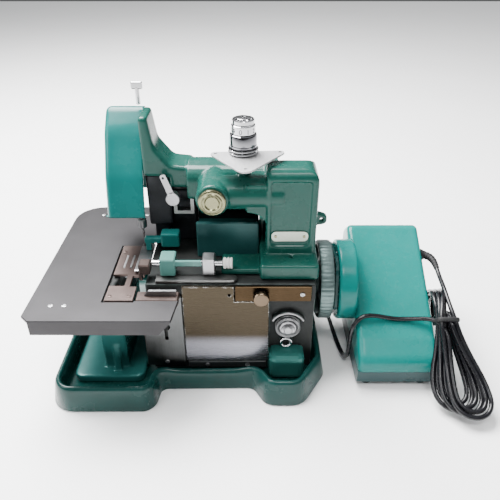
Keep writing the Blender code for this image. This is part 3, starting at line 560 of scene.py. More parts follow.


# %% [markdown]
# ## Finishes on the carried-over nodes
# Many CAD nodes already have the right shape. Each gets the finish of its real surface, with
# painted light on some. Three castings carry two finishes: the parting line is a test on the place
# of a point, and on the rear casting the near-black part at the back is painted shade. The steel
# cover has a painted reflection of the brown table low in its mirror and the pale window above it.

# %% Two finishes on one casting
def zoned(name, inside, outside, tests, gloss_inside, gloss_outside, metallic=0.2):
    """Inside colours where every test (axis, operation, limit) on the place holds, else outside."""
    made, tree, shader = shader_start(name, metallic, 0.45, specular=0.2)
    first = use(tree, CLOUDS, Dark=rgb(inside[0]), Light=rgb(inside[1]), Scale=18.0)
    second = use(tree, CLOUDS, Dark=rgb(outside[0]), Light=rgb(outside[1]), Scale=30.0)
    place = parts_of(tree, node(tree, 'ShaderNodeTexCoord').outputs["Object"])
    mask = None
    for axis, operation, limit in tests:
        test = node(tree, 'ShaderNodeMath', operation=operation, in_1=limit)
        join(tree, place[axis], test.inputs[0])
        mask = times(tree, mask, test.outputs[0]) if mask else test.outputs[0]
    colour = mixed(tree, mask, second.outputs["Color"], first.outputs["Color"])
    # Lighter rims along the edges: worn paint and painted edge highlight.
    edges = use(tree, EDGES, Radius=0.0010)
    colour = blend_over(tree, colour, edges.outputs[0], (0.12, 0.19, 0.17))
    surfaced(tree, shader, colour, mask, gloss_outside, gloss_inside)
    return made


PAINT = ((0.018, 0.120, 0.105), (0.034, 0.175, 0.155))
OILY = ((0.010, 0.013, 0.013), (0.030, 0.032, 0.031))
FRAME_CAST = zoned("frame_casting", PAINT, OILY, (
    ("Y", 'LESS_THAN', -0.0525), ("Z", 'LESS_THAN', 0.0345), ("X", 'GREATER_THAN', 0.0215)), 0.26, 0.5)
BRACKET = zoned("bracket_casting", ((0.014, 0.105, 0.098), (0.024, 0.150, 0.140)), OILY,
                (("Z", 'LESS_THAN', 0.082),), 0.26, 0.5)
# The rear casting's back part, behind Y = 0, is near black: painted shade for the shadowed gap under the
# arm.
REAR = zoned("rear_casting", ((0.014, 0.070, 0.070), (0.020, 0.092, 0.090)), ((0.003, 0.006, 0.007),
             (0.006, 0.011, 0.012)), (("Y", 'LESS_THAN', 0.0),), 0.3, 0.7)


# %% Mirror steel of the front cover, with a painted reflection
def cover_finish():
    """Drawn lines over a tone that steps from brown to pale at a height: a painted mirror reflection."""
    made, tree, shader = shader_start("cover_steel_painted_reflection", 0.92, 0.3)
    lines = use(tree, LINES, Stretch=(30.0, 900.0, 900.0))
    height = parts_of(tree, node(tree, 'ShaderNodeTexCoord').outputs["Object"])["Z"]
    # Painted reflection: grey that pales upwards to 20 mm, stepping to brown between 40 and 54 mm up.
    step = between(tree, height, 0.040, 0.054, interpolation_type='SMOOTHSTEP')
    rise = between(tree, height, -0.002, 0.020)
    low = mixed(tree, rise, rgb((0.16, 0.165, 0.18)), rgb((0.33, 0.33, 0.37)))
    both = mixed(tree, step, low, rgb((0.050, 0.039, 0.025)))
    # Near-white rims along the edges: worn metal and painted edge highlight.
    edges = use(tree, EDGES, Radius=0.0007, Break=240.0)
    colour = blend_over(tree, both, edges.outputs[0], (0.8, 0.8, 0.78))
    surfaced(tree, shader, colour, lines.outputs[0], 0.2, 0.34)
    bumped(tree, shader, lines.outputs[0], 0.08, 0.0001)
    return made


COVER = cover_finish()

# %% One finish for each node
FINISH_NODES = (
    (TRAY_GREEN, "base_tray"),
    (PLATE, "cloth_plate"),
    (BRACKET, "plate_bracket"),
    (FRAME_CAST, "machine_frame"),
    (STRIP, "top_strip"),
    (CASTING, "hinge_bar main_pulley motor"),
    (PANEL, "side_panel"),
    (COVER, "front_cover"),
    (KNOB, "cover_knob"),
    (STEEL, "panel_lever stitch_dial needle_clamp take_up_lever presser_foot feed_dog lower_knife "
     "clamp_block_right main_shaft motor_pulley"),
    (GREEN, "arm_casting"),
    (BRASS, "boss_plug"),
    (REAR, "rear_panel"),
    (SILVER, "badge"),
    (HEAD_GREEN, "head_cover presser_arm"),
    (CHROME, "pressure_screw needle_bar needle clamp_rod tension_post tension_disc_lower "
     "tension_disc_upper tension_dial"),
    (BLACK_IRON, "drive_housing"),
    (DARK_STEEL, "thread_bracket slide_plate"),
    (BRONZE, "needle_plate lower_knife_holder upper_knife"),
    (PALE_GREEN, "clamp_block_left"),
    (WHITE, "clamp_nut"),
    (SATIN, "guide_plate"),
    (DARK_CHROME, "tension_sleeve"),
    (WHEEL, "handwheel"),
    (TEAL, "belt_guard motor_cover"),
    (SHADE_GREEN, "guard_flange"),
    (RUBBER, "drive_belt motor_foot_fl motor_foot_fr motor_foot_bl motor_foot_br cord_gland cord_plug"),
    (PAN_GREEN, "motor_pan"),
    (CABLE, "cord_lead cord_tail cord_hank"),
)
NODE_FINISH = {name: finish for finish, names in FINISH_NODES for name in names.split()}


def coat(piece, finish):
    """Gives a piece one finish in place of whatever it had."""
    piece.data.materials.clear()
    piece.data.materials.append(finish)
    return piece


for node_name, node_object in frame["nodes"].items():
    coat(node_object, NODE_FINISH[node_name])
print("nodes with a finish:", len(NODE_FINISH))

BODY_OF = {n: body for body, names in frame["record"]["behaviour"]["bodies"].items() for n in names}


def added_to(piece, node_name, finish):
    """A piece that rides with a CAD node's body, with a finish of its own."""
    coat(piece, finish)
    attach(piece, BODY_OF[node_name])
    return piece


def stands_for(piece, node_name):
    """Puts a finer piece in the place of a CAD node: same body and finish, and the node is hidden."""
    added_to(piece, node_name, NODE_FINISH[node_name])
    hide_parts(node_name)
    return piece


def turned_for(node_name, name, axis, centre, profile, sides, ripple=None, back=False):
    """Turned piece in the place of a node, measured up from the node's low face, or back from
    its high one."""
    low, high = (corner["xyz".index(axis)] for corner in box_mm(node_name))
    start, way = (high, -1) if back else (low, 1)
    return stands_for(turned(name, axis, centre, profile, sides, ripple, start, way), node_name)


# %% [markdown]
# ## Tray
# The tray is a shallow pan with drafted walls and a rolled rim. Its outline has two lobes in
# front, and the rim dips between them. The surface is one ring of points after another: each
# ring is the outline moved inwards by its own amount, at its own height.

# %% Tray surface
def tray_surface():
    """Rings of the outline: each has its inset and its share of the rim's height, up the
    draft, over the rim and down inside."""
    low, high = box_mm("base_tray")
    outline = even(fillet([
        (low[0], low[1], 22), (-79, low[1], 14), (-76, -76, 7), (8, -75, 9), (19, -96, 14),
        (52, -96, 18), (high[0], -58, 16), (high[0], high[1], 18), (low[0], high[1], 22)], 16), 420)
    sway = np.exp(-((outline[:, 0] + 34) / 42) ** 6) * np.clip((-50 - outline[:, 1]) / 20, 0, 1)
    rim = high[2] - 6.0 * sway
    profile = np.array([(1.4, 0.0), (0.4, 0.02), (0.0, 0.06), (3.2, 0.78), (3.8, 0.88), (4.6, 0.95),
                        (5.6, 0.99), (6.8, 1.0), (7.9, 0.985), (8.8, 0.94), (9.3, 0.86), (10.4, 0.40),
                        (11.4, 0.30), (13.0, 0.255)])
    flat = outline[None] + inward(outline)[None] * profile[:, 0][:, None, None]
    height = profile[:, 1][:, None] * rim[None, :]
    height[-1] = 6.0
    height[-2] = 6.6
    return np.concatenate([flat, height[..., None]], axis=-1)


stands_for(grid_piece("tray", tray_surface(), sharp=60.0), "base_tray")


# %% [markdown]
# ## Castings
# The arm was cast in sand, so wherever a tube, the neck or the column meet there is a soft
# fillet. The CAD node has those bodies joined by sharp lines. A merged copy is wrapped in a
# fine voxel skin and relaxed, which rounds both the edges and the inner corners.

# %% Cast skin
def cast_skin(name, node_name, voxel, passes):
    """Voxel skin over a merged copy of a node, relaxed so that sharp lines become fillets."""
    mesh = frame["nodes"][node_name].data.copy()
    work = bmesh.new()
    work.from_mesh(mesh)
    bmesh.ops.remove_doubles(work, verts=work.verts, dist=1e-6)
    work.to_mesh(mesh)
    work.free()
    piece = shown(name, mesh)
    wrap = piece.modifiers.new("wrap", 'REMESH')
    wrap.mode = 'VOXEL'
    wrap.voxel_size = voxel * MM
    relax = piece.modifiers.new("relax", 'SMOOTH')
    relax.factor = 0.5
    relax.iterations = passes
    graph = bpy.context.evaluated_depsgraph_get()
    baked = bpy.data.meshes.new_from_object(piece.evaluated_get(graph))
    piece.modifiers.clear()
    piece.data = baked
    baked.name = name
    baked.shade_smooth()
    print(name, "triangles:", 2 * len(baked.polygons))
    return piece


stands_for(cast_skin("arm_skin", "arm_casting", 0.85, 6), "arm_casting")
stands_for(cast_skin("bracket_skin", "plate_bracket", 0.95, 5), "plate_bracket")


# %% [markdown]
# ## Pressed covers
# The head cover and the motor box are shells with one open side. Their surface is an open
# outline swept across their width: at each side it rolls over a soft edge and then runs
# straight down the side face to the open bottom. A Solidify modifier gives the wall.

# %% Hood surface
def hood(name, outline, left, right, edge, wall, closed_sides=(True, True), across=24, down=14):
    """Outline (y, z) from front bottom over the top to back bottom, swept along X.

    The side face joins each outline point to its partner on the bottom line by a straight run,
    and a quarter round of radius edge joins the side face to the swept band.
    """
    lean = -inward(outline, closed=False)
    if (outline.mean(axis=0) - outline[len(outline) // 2]) @ lean[len(outline) // 2] < 0:
        lean = -lean
    turn = np.linspace(0, math.pi / 2, 9)
    inset_by, reach = edge * (1 - np.sin(turn)), edge * (1 - np.cos(turn))
    rim = outline + lean * edge
    foot = np.stack([np.linspace(rim[0, 0], rim[-1, 0], len(rim)),
                     np.full(len(rim), outline[:, 1].min())], axis=1)
    rows, places = [], []
    share = np.linspace(0, 1, down)[:-1, None, None]
    face = foot[None] * (1 - share) + rim[None] * share
    band = outline[None] + lean[None] * inset_by[:, None, None]
    middle = np.repeat(outline[None], across, axis=0)
    if closed_sides[0]:
        rows += [face, band]
        places += [np.full(len(face), left), left + reach]
    rows.append(middle)
    places.append(np.linspace(left + edge, right - (edge if closed_sides[1] else 0), across))
    if closed_sides[1]:
        rows += [band[::-1], face[::-1]]
        places += [right - reach[::-1], np.full(len(face), right)]
    flat, place = np.concatenate(rows), np.concatenate(places)
    grid = np.concatenate([np.broadcast_to(place[:, None, None], flat.shape[:2] + (1,)), flat], axis=-1)
    piece = grid_piece(name, grid, closed_columns=False, caps=False, sharp=50.0)
    shell = piece.modifiers.new("wall", 'SOLIDIFY')
    shell.thickness = wall * MM
    shell.offset = -1.0
    return piece


# %% Motor box
def motor_outline():
    low = box_mm("motor_cover")[0]
    seam = low[2]
    path = fillet([(low[1], seam, 0), (-74, 32, 16), (-58, 46, 15), (47, 106.5, 8), (66, 92, 13),
                   (68, seam, 0)], 14)
    return even(path, 150, closed=False)


motor_low, motor_high = box_mm("motor_cover")
stands_for(hood("motor_box", motor_outline(), motor_low[0], motor_high[0], 5.0, 2.2), "motor_cover")


# %% Head cover
def head_outline():
    path = fillet([(-7, 143, 0), (3, 178, 46), (22, 214, 40), (44, 234, 9), (62, 205, 20),
                   (58, 143, 0)], 16)
    return even(path, 150, closed=False)


head_low, head_high = box_mm("head_cover")
head = hood("head_shell", head_outline(), head_low[0], head_high[0], 5.0, 2.0, (True, False))
stands_for(head, "head_cover")


# %% [markdown]
# ## Belt guard and handwheel
# The guard is a keyhole-shaped cup round both pulleys. Its rings run from the shaft hole out
# to the keyhole outline, over a soft edge and along X. The handwheel is turned, and its rim
# has shallow finger grooves that are a cosine added to the radius.

# %% Keyhole cup
WHEEL_AXIS, MOTOR_AXIS = np.array((-1.0, 73.0)), np.array((23.0, 38.0))
GUARD_EDGE = 2.5               # radius of the guard's soft edge
SHAFT_HOLE = 8.0


def keyhole(radius, lobe, count=200):
    """Outline round two circles: the large one at the wheel axis, the small one at the motor."""
    a, b = WHEEL_AXIS, MOTOR_AXIS
    heading = math.atan2(*(b - a)[::-1])
    tilt = math.acos((radius - lobe) / np.linalg.norm(b - a))
    big = heading + tilt + (2 * math.pi - 2 * tilt) * np.linspace(0, 1, 150)
    small = heading - tilt + 2 * tilt * np.linspace(0, 1, 40)
    path = np.concatenate([a + radius * np.stack([np.cos(big), np.sin(big)], axis=1),
                           b + lobe * np.stack([np.cos(small), np.sin(small)], axis=1)])
    return even(path, count)


def guard_surface():
    low, high = box_mm("belt_guard")
    rim = keyhole(38.5, 15.0)
    lean = inward(rim)
    turn = np.linspace(0, math.pi / 2, 7)
    aim = rim - WHEEL_AXIS
    hole = WHEEL_AXIS + SHAFT_HOLE * aim / np.linalg.norm(aim, axis=1, keepdims=True)
    flat = [hole[None], (rim + lean * GUARD_EDGE)[None]]
    flat.append(rim[None] + lean[None] * (GUARD_EDGE * (1 - np.sin(turn)))[:, None, None])
    flat.append(np.repeat(rim[None], 6, axis=0))
    place = np.concatenate([[low[0], low[0]], low[0] + GUARD_EDGE * (1 - np.cos(turn)),
                            np.linspace(low[0] + GUARD_EDGE + 1.0, high[0], 6)])
    flat = np.concatenate(flat)
    return np.concatenate([np.broadcast_to(place[:, None, None], flat.shape[:2] + (1,)), flat], axis=-1)


guard = grid_piece("guard_cup", guard_surface(), caps=False, sharp=40.0)
guard_wall = guard.modifiers.new("wall", 'SOLIDIFY')
guard_wall.thickness = 1.9 * MM
guard_wall.offset = -1.0
stands_for(guard, "belt_guard")


# %% Handwheel
def grooves(turn, radius):
    """Forty-eight shallow grooves on the rim, none on the web."""
    on_rim = np.clip((radius - 37.0) / 1.0, 0, 1)
    return -0.35 * on_rim * (0.5 - 0.5 * np.cos(48 * turn)) ** 3


wheel = turned("wheel", "x", WHEEL_AXIS, [
    (66.0, 6.3), (66.0, 13.0), (67.0, 14.5), (70.0, 16.0), (73.0, 22.0), (74.2, 30.0), (72.5, 32.5),
    (69.4, 33.6), (69.0, 34.4), (69.0, 36.2), (69.6, 37.4), (71.0, 38.0), (75.5, 38.0),
    (80.0, 38.0), (81.4, 37.4), (82.0, 36.2), (82.0, 24.0), (82.0, 6.3)], 384, grooves)
stands_for(wheel, "handwheel")


# %% [markdown]
# ## Tension unit
# Thread runs between two dished discs that a spring presses together. A chrome sleeve holds
# the spring, and a numbered dial on top sets it. All of them are turned about one post.

# %% Discs, sleeve and dial
TENSION = (-0.5, -10.0)


def ribs(count, depth, low_radius):
    """Knurling: a cosine with count waves, only where the radius is over low_radius."""
    def wave(turn, radius):
        return -depth * (radius > low_radius) * (0.5 + 0.5 * np.cos(count * turn))
    return wave


for disc_name in ("tension_disc_lower", "tension_disc_upper"):
    turned_for(disc_name, disc_name + "_turned", "z", TENSION, [
        (0, 2.6), (0, 7.0), (0.3, 8.6), (0.95, 11.6), (1.2, 12.3), (1.7, 12.5), (2.1, 12.1), (2.0, 11.4),
        (1.5, 8.6), (1.2, 7.0), (1.2, 2.6)], 128)

turned_for("tension_sleeve", "sleeve_turned", "z", TENSION, [
    (0, 2.6), (0, 10.0), (0.3, 10.7), (1.0, 11.2), (2.2, 11.2), (2.5, 10.4), (2.9, 10.4), (3.2, 11.2),
    (10.4, 11.2), (11.3, 10.9), (11.8, 10.2), (11.8, 2.6)], 160)
turned_for("tension_dial", "dial_turned", "z", TENSION, [
    (0, 2.6), (0, 9.3), (0.5, 9.8), (6.6, 9.8), (7.2, 9.3), (7.5, 8.7), (8.2, 8.6), (8.5, 9.1), (11.0, 9.1),
    (11.6, 8.6), (11.8, 7.9), (10.6, 7.2), (10.4, 2.6)], 240)
DIAL_FOOT = box_mm("tension_dial")[0][2]


# %% Dial numbers
def dial_number(text, turn):
    """Raised numeral bent round the dial: its flat x becomes an angle and its height a z."""
    curve = bpy.data.curves.new("number_" + text, 'FONT')
    curve.body = text
    curve.size = 5.6 * MM
    curve.align_x = 'CENTER'
    curve.extrude = 0.12 * MM
    holder = shown("holder", curve)
    graph = bpy.context.evaluated_depsgraph_get()
    mesh = bpy.data.meshes.new_from_object(holder.evaluated_get(graph))
    bpy.data.objects.remove(holder, do_unlink=True)
    flat = np.empty(len(mesh.vertices) * 3)
    mesh.vertices.foreach_get("co", flat)
    flat = flat.reshape(-1, 3) / MM
    radius = 9.82 + flat[:, 2]
    angle = turn + flat[:, 0] / 9.8
    bent = np.stack([TENSION[0] + radius * np.cos(angle), TENSION[1] + radius * np.sin(angle),
                     DIAL_FOOT + 1.2 + flat[:, 1]], axis=1) * MM
    mesh.vertices.foreach_set("co", bent.ravel())
    return shown("dial_number_" + text, mesh)


for k in range(10):
    added_to(dial_number(str(k), math.radians(-102 + 36 * k)), "tension_dial", BLACK_IRON)


# %% [markdown]
# ## Small turned pieces
# The knob, the stitch dial, the boss plug and the nylon nut are turned as well. The stitch
# dial carries a coiled spring ring: a helix whose axis is bent into a circle.

# %% Plug, knob and nut
turned_for("boss_plug", "plug_turned", "y", (-26.0, 174.0), [
    (0, 0.0), (0, 11.2), (0.3, 11.5), (1.8, 11.5), (2.6, 10.9), (2.9, 10.0), (2.6, 9.2), (2.6, 8.6),
    (3.4, 7.8), (3.6, 6.6), (3.0, 5.8), (2.6, 5.4), (2.5, 0.0)], 128, back=True)

turned_for("cover_knob", "knob_turned", "y", (14.5, 97.0), [
    (0, 0.0), (0, 4.0), (1.6, 4.0), (2.0, 6.6), (2.6, 7.0), (6.4, 7.0), (7.2, 6.4), (7.6, 5.4), (7.4, 3.0),
    (7.0, 0.0)], 160, ribs(40, 0.35, 6.9), back=True)

low, high = box_mm("clamp_nut")
nut_length = high[0] - low[0]
turned_for("clamp_nut", "nut_turned", "x", (-42.0, 118.0), [
    (0, 0.0), (0, 4.1), (0.5, 4.9), (2.2, 4.9), (2.6, 4.2), (3.4, 4.2), (3.8, 4.9), (5.0, 4.9), (5.4, 4.2),
    (6.0, 4.2), (6.3, 4.9), (nut_length - 0.4, 4.9), (nut_length, 4.2), (nut_length, 0.0)],
    120, ribs(20, 0.5, 4.6))


# %% Stitch dial with its coiled ring
def spring_ring(name, centre, y, ring, wire, coil, turns):
    """Tube along a helix bent into a circle: the point at angle u lies on a small circle of
    radius coil that turns `turns` times while u goes once round the ring."""
    u = circle(20 * turns)
    reach = ring + coil * np.cos(turns * u)
    path = np.stack([centre[0] + reach * np.cos(u), y + coil * np.sin(turns * u),
                     centre[1] + reach * np.sin(u)], axis=1)
    along = np.roll(path, -1, axis=0) - np.roll(path, 1, axis=0)
    grid = tube_rings(path, along, (0.0, 1.0, 0.0), np.full(len(path), wire), 8)
    return grid_piece(name, grid, closed_rows=True, caps=False)


DIAL_AT = (39.0, 58.5)
DIAL_BACK = box_mm("stitch_dial")[1][1]
turned_for("stitch_dial", "stitch_turned", "y", DIAL_AT, [
    (0, 0.0), (0, 11.0), (0.4, 11.5), (1.8, 11.5), (2.4, 11.0), (2.6, 10.2), (3.0, 8.2), (6.0, 7.8),
    (6.8, 7.2), (7.0, 6.4), (6.4, 5.6), (6.2, 4.2), (9.2, 3.9), (9.9, 3.2), (10.0, 0.0)], 128, back=True)
added_to(spring_ring("dial_spring", DIAL_AT, DIAL_BACK - 4.8, 9.9, 0.55, 1.1, 46), "stitch_dial", STEEL)


# %% [markdown]
# ## Screws and rivets
# Slotted screws hold the hinge bar, the plates and the badge. A screw head is a disc whose
# height falls off at the rim and drops in a narrow slot, so it is one polar grid.

# %% Screw heads
def screw_head(name, axis, centre, base, height, radius, turn, facing, slot_wide):
    """Polar grid: height times (1 - r^4) for the dome, less the slot where |x| is small."""
    r = np.concatenate([np.linspace(0, 0.92, 16), [0.97, 1.0, 1.0]])[:, None]
    a = circle(72)[None, :]
    x, w = r * np.cos(a), r * np.sin(a)
    dome = height * (0.72 + 0.28 * (1 - r ** 4))
    across = np.abs(x * math.cos(turn) + w * math.sin(turn))
    slot = 0.55 * height * np.clip((slot_wide - across) / 0.05, 0, 1)
    rise = np.broadcast_to(dome, x.shape) - slot
    rise = np.where(np.arange(len(r))[:, None] == len(r) - 1, 0.0, rise)
    grid = on_axis(axis, centre[0] + radius * x, centre[1] + radius * w, base + facing * rise)
    rows, columns = grid.shape[:2]
    faces = grid_faces(rows, columns, False, True)
    faces.append(list(range((rows - 1) * columns, rows * columns)))
    return mesh_piece(name, grid.reshape(-1, 3), faces, 30.0)


# Screws of one node: name, node, finish, faces front, lift off the face, height, radius, width of
# the slot, and for each screw its place on the face and the turn of its slot
SCREWS = (
    ("hinge_screw_", "hinge_bar", STEEL, True, -0.1, 1.2, 2.1, 0.22,
     ((-34.2, 17.9, 0.6), (2.8, 17.9, 1.6))),
    ("panel_screw_", "side_panel", STEEL, True, -0.05, 1.0, 2.0, 0.22,
     ((-71.5, 21.0, 1.4), (-84.5, 88.0, 2.4), (-59.0, 88.0, 3.4))),
    ("dial_cap", "tension_dial", CHROME, False, -1.0, 2.2, 6.2, 0.14, (TENSION + (0.5,),)),
    ("plate_screw_", "cloth_plate", STEEL, False, 0.02, 0.7, 2.0, 0.22,
     ((-158.0, -82.0, 0.4), (-147.0, -82.0, 1.1), (-150.0, 74.0, 1.8), (-104.0, 74.0, 2.5))),
    ("needle_plate_screw_", "needle_plate", BRONZE, False, 0.02, 0.6, 1.9, 0.22,
     ((-112.5, -1.0, 1.1), (-112.5, -70.0, 2.1), (-96.5, -70.0, 3.1))),
    ("badge_rivet_", "badge", BRASS, True, -0.05, 0.6, 1.2, 0.0,
     ((27.0, 138.8, 0.0), (51.5, 138.8, 0.0))),
    ("strip_screw_", "top_strip", STEEL, True, -0.05, 0.9, 2.0, 0.22, ((50.0, 98.0, 0.9),)),
)
for label, node_name, finish, front, lift, height, radius, wide, screws in SCREWS:
    low, high = box_mm(node_name)
    axis, base, facing = ("y", low[1], -1.0) if front else ("z", high[2], 1.0)
    for k, (a, b, turn) in enumerate(screws):
        name = f"{label}{k + 1}" if label.endswith("_") else label
        added_to(screw_head(name, axis, (a, b), base + lift, height, radius, turn, facing, wide),
                 node_name, finish)


# %% Rings on the regulator face
def arc_tube(name, centre, y, ring, tube, start, end, count=72):
    """Tube of radius tube along an arc of radius ring; a full turn closes on itself."""
    full = end - start >= 360
    u = np.radians(np.linspace(start, end, count, endpoint=not full))[:, None]
    v = circle(20)[None, :]
    reach = ring + tube * np.cos(v)
    grid = np.stack([centre[0] + reach * np.cos(u), y + tube * np.sin(v) + 0 * u,
                     centre[1] + reach * np.sin(u)], axis=-1)
    return grid_piece(name, grid, closed_rows=full, caps=not full)


TRIM_Y = DIAL_BACK + 0.3 - 4.0
added_to(arc_tube("dial_arc_trim", DIAL_AT, TRIM_Y, 15.4, 1.1, 28, 152), "machine_frame", STEEL)
added_to(arc_tube("lower_ring_trim", (38.0, 40.4), TRIM_Y, 4.6, 1.3, 0, 360), "machine_frame", CHROME)


# %% [markdown]
# ## Mains cord
# The cord is one length of round flex, 4.2 mm thick. It leaves the box through a gland, turns
# into a hank of six long loops, and one end runs over the box and down behind the guard to
# the plug. Each loop is computed: a half circle above, a run through the tie, a fan to the
# floor, a half circle there, and the same way back.

# %% Route of the cord
CORD_R = 2.1
LEAD = [(178.0, 25, 84), (182.6, 24.8, 84.2), (186.2, 19, 83.6), (187.2, 9, 81.2), (187.4, 2, 79.0)]
TAIL = [(173.6, -49.4, 61.4), (168, -46.5, 60.2), (150, -43.8, 57.6), (137, -43.2, 57.2),
        (122, -42.6, 60.4), (110, -43.2, 61.4), (103.5, -45.5, 58.8), (98.9, -48, 50),
        (98.2, -49, 37), (98.2, -47, 20), (97.8, -38, 5.2), (95, -22, 2.6), (92, 5, 2.6),
        (90, 30, 2.6), (89, 50, 5.0), (89, 61, 8.0)]
HANK_BACK, HANK_ARCH, HANK_TIE = (186.0, 8.0, 26.0), (185.0, -34.0, 71.0), (182.5, -52.0, 62.5)
HANK_KNEE, HANK_END = (190.0, -80.0, 24.0), (192.5, -121.0, 6.6)
TIE_AT = 0.46
RUN_PER_T = 170.0              # millimetres of middle line for each unit of t
LAYER = 2.15 * CORD_R          # distance between layers of cord


def bend(start, knee, end, s):
    """Point on the quadratic curve from start to end that leaves and arrives towards knee."""
    a, b, c = np.array(start), np.array(knee), np.array(end)
    return a * (1 - s) ** 2 + b * 2 * s * (1 - s) + c * s ** 2


def hank_centre(t):
    if t < TIE_AT:
        return bend(HANK_BACK, HANK_ARCH, HANK_TIE, t / TIE_AT)
    return bend(HANK_TIE, HANK_KNEE, HANK_END, (t - TIE_AT) / (1 - TIE_AT))


def hank_frame(t):
    """Centre of the hank at t with two directions across it.

    Below the tie the first direction is sideways. Behind the tie both turn a quarter round
    the bundle, so that the hidden folds stand on edge beside the box wall.
    """
    along = hank_centre(min(1.0, t + 0.03)) - hank_centre(max(0.0, t - 0.03))
    along /= np.linalg.norm(along)
    side = np.array((1.0, 0.0, 0.0))
    out = np.cross(side, along)
    out /= np.linalg.norm(out)
    turn = math.pi / 2 * np.clip((TIE_AT - 0.04 - t) / 0.18, 0, 1)
    first = side * math.cos(turn) + out * math.sin(turn)
    second = out * math.cos(turn) - side * math.sin(turn)
    return hank_centre(t), first, second


def at_hank(t, u, v):
    centre, first, second = hank_frame(t)
    return centre + first * u + second * v


def fold_points(depth, heading, middle, radius, layer):
    """Half circle of 13 points in the plane of the hank, deepest at t = depth.

    heading is +1 at the floor end and -1 at the back end, where it also starts on the far side.
    """
    points = []
    for a in np.linspace(0, math.pi, 13):
        t = depth - heading * radius / RUN_PER_T * (1 - math.sin(a))
        points.append(at_hank(t, middle + heading * radius * math.cos(a), layer))
    return points


# Each loop: (layer, fold radius, column of its strands in the tie, depth of its floor fold);
# SHIFT is how far the floor folds of a layer lie to the side, and each back fold is
# (layer, fold radius, depth)
LOOPS = ((-1, 17.0, 3, 0.985), (0, 12.8, 1, 0.925), (0, 17.2, 3, 0.955), (1, 12.8, 1, 0.90),
         (1, 17.2, 3, 0.93), (-1, 12.8, 1, 0.955))
SHIFT = {-1: 5.0, 0: -0.5, 1: -6.0}
BACK_FOLDS = ((-1, 16.4, 0.03), (-1, 12.8, 0.075), (0, 16.4, 0.03), (1, 12.8, 0.075), (1, 16.4, 0.03))
# Where a strand comes back to the tie from its back fold: (t, share of the fold radius)
RETURN = ((0.18, 0.85), (0.34, 0.10))
# Places between the tie and a floor fold, as shares of that run, and how far a strand has
# spread there from its column in the tie towards its side of the fold
SPREAD = ((0.0, 0.0), (0.16, 0.12), (0.42, 0.42), (0.72, 0.84))


def strand(depth, radius, start, end, layer):
    """Points from the tie down to where the floor fold begins, spreading from start to end."""
    length = depth - radius / RUN_PER_T - TIE_AT
    return [at_hank(TIE_AT + share * length, start + (end - start) * spread, layer)
            for share, spread in SPREAD]


def hank_route():
    """Six loops: down on the right of each loop, round its floor fold, up on its left."""
    points = []
    for k, (layer, radius, column, depth) in enumerate(LOOPS):
        high, middle, u = layer * LAYER, SHIFT[layer], column * CORD_R
        points += strand(depth, radius, u, middle + radius, high)
        points += fold_points(depth, 1, middle, radius, high)
        points += strand(depth, radius, -u, middle - radius, high)[::-1]
        if k < len(BACK_FOLDS):
            back_layer, back_radius, back_depth = BACK_FOLDS[k]
            back, following = back_layer * LAYER, LOOPS[k + 1][0] * LAYER
            points.append(at_hank(0.27, -0.9 * back_radius, back))
            points += fold_points(back_depth, -1, 0.0, back_radius, back)
            points += [at_hank(t, share * back_radius, 0.5 * (back + following))
                       for t, share in RETURN]
    return points


def smooth(points, step, passes):
    """Curve through the points as even points a step apart (all in millimetres), then relaxed.

    Between points 1 and 2 it is the Hermite cubic h00 p1 + h10 m1 + h01 p2 + h11 m2, its
    slopes m taken over the square roots of the gaps, so that a short gap beside a long one
    makes no loop. Each pass moves a point half way to the mean of its neighbours.
    """
    p = np.asarray(points, float)
    p = np.vstack([2 * p[0] - p[1], p, 2 * p[-1] - p[-2]])
    gap = np.sqrt(np.linalg.norm(np.diff(p, axis=0), axis=1))[:, None]
    pace = np.diff(p, axis=0) / gap
    slope = pace[:-1] + pace[1:] - (p[2:] - p[:-2]) / (gap[:-1] + gap[1:])
    t = np.linspace(0, 1, 16, endpoint=False)[None, :, None]
    p1, p2 = p[1:-2, None], p[2:-1, None]
    m1, m2 = (slope[:-1] * gap[1:-1])[:, None], (slope[1:] * gap[1:-1])[:, None]
    fine = ((2 * t ** 3 - 3 * t ** 2 + 1) * p1 + (t ** 3 - 2 * t ** 2 + t) * m1
            + (3 * t ** 2 - 2 * t ** 3) * p2 + (t ** 3 - t ** 2) * m2)
    path = np.vstack([fine.reshape(-1, 3), p[-2]])
    path = even(path, int(np.linalg.norm(np.diff(path, axis=0), axis=1).sum() / step), closed=False)
    for _ in range(passes):
        path[1:-1] = 0.5 * path[1:-1] + 0.25 * (path[:-2] + path[2:])
    length = np.linalg.norm(np.diff(path, axis=0), axis=1).sum()
    return even(path, int(length / step), closed=False), length


# %% Cord as one curve
into_tie = [(187.0, -12.0, 77.4), (186.6, -28.0, 75.6), (187.0, -42.0, 71.2)]
cord_path, cord_length = smooth(LEAD + into_tie + hank_route()[:-1] + TAIL, 2.4, 12)
cord_path[:, 2] = np.maximum(cord_path[:, 2], CORD_R)
cord_curve = bpy.data.curves.new("mains_cord", 'CURVE')
cord_curve.dimensions = '3D'
cord_curve.bevel_depth = CORD_R * MM
cord_curve.bevel_resolution = 4
cord_curve.use_fill_caps = True
spline = cord_curve.splines.new('POLY')
spline.points.add(len(cord_path) - 1)
spline.points.foreach_set("co", np.hstack([cord_path * MM, np.ones((len(cord_path), 1))]).ravel())
cord = shown("mains_cord", cord_curve)
cord.data.materials.append(CABLE)
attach(cord, "machine")
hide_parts("cord_lead", "cord_tail", "cord_hank")
print("cord length in mm:", round(cord_length, 1), "points:", len(cord_path))


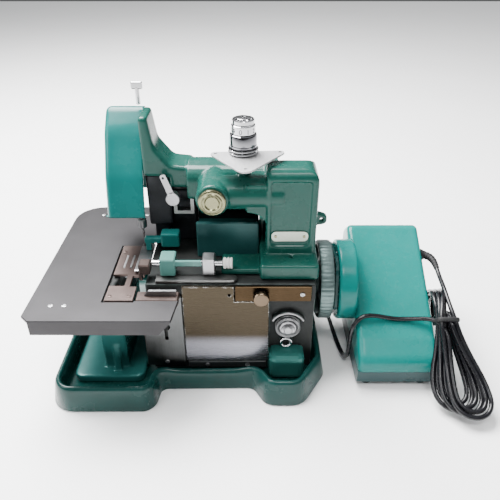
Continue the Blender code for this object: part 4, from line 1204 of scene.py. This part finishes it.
# %% Tie and gland
def band(name, centre, side, out, wide, deep, half, thick):
    """Flattened ring round the hank: its middle line is |x/wide|^4 + |y/deep|^4 = 1, and its
    section is an ellipse of the given thickness that reaches half way each side."""
    along = np.cross(side, out)
    u = circle(96)
    v = circle(14)
    reach = (np.abs(np.cos(u) / wide) ** 4 + np.abs(np.sin(u) / deep) ** 4) ** -0.25
    ring = (reach * np.cos(u))[:, None] * side + (reach * np.sin(u))[:, None] * out
    outward = unit(ring)
    grid = (centre + ring[:, None] + outward[:, None] * (thick * np.cos(v))[None, :, None]
            + along * (half * np.sin(v))[None, :, None])
    return grid_piece(name, grid, closed_rows=True, caps=False)


tie_centre, tie_side, tie_out = hank_frame(TIE_AT)
tie = band("cord_tie", tie_centre, tie_side, tie_out, 9.9, 8.0, 2.0, 0.8)
tie.data.materials.append(RUBBER)
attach(tie, "machine")


# %% Strain relief
def relief():
    """Tapered sleeve along the first 24 mm of the cord, its radius rippled like moulded ribs."""
    count = 97
    run = np.concatenate([[0], np.cumsum(np.linalg.norm(np.diff(cord_path, axis=0), axis=1))])
    at = np.linspace(0, 24.0, count)
    middle = np.stack([np.interp(at, run, cord_path[:, c]) for c in range(3)], axis=1)
    share = at / at[-1]
    radius = 4.3 - 1.75 * share - 0.35 * (np.cos(share * 2 * math.pi * 8) > 0.2) * (share > 0.08)
    radius[0], radius[-1] = 4.3, CORD_R + 0.1
    grid = tube_rings(middle, np.gradient(middle, axis=0), (0.0, 0.0, 1.0), radius, 32)
    return grid_piece("cord_relief", grid)


sleeve_piece = added_to(relief(), "cord_gland", RUBBER)


# %% [markdown]
# ## Floor
# A pale, matte sheet under the machine, wide enough to run out of view.

# %% Floor
def pale_floor():
    """Flat square of four points with a faint grain in its tone."""
    made, tree, shader = shader_start("pale_floor", 0.0, 0.75)
    clouds = use(tree, CLOUDS, Dark=(0.94, 0.94, 0.94, 1.0), Light=(0.97, 0.97, 0.97, 1.0), Scale=3.0)
    join(tree, clouds.outputs["Color"], shader.inputs["Base Color"])
    half = 2500.0
    corners = [(-half, -half, 0), (half, -half, 0), (half, half, 0), (-half, half, 0)]
    floor = mesh_piece("floor", np.array(corners) + np.array((0, 0, -0.05)), [[0, 1, 2, 3]])
    floor.data.materials.append(made)
    return floor


pale_floor()
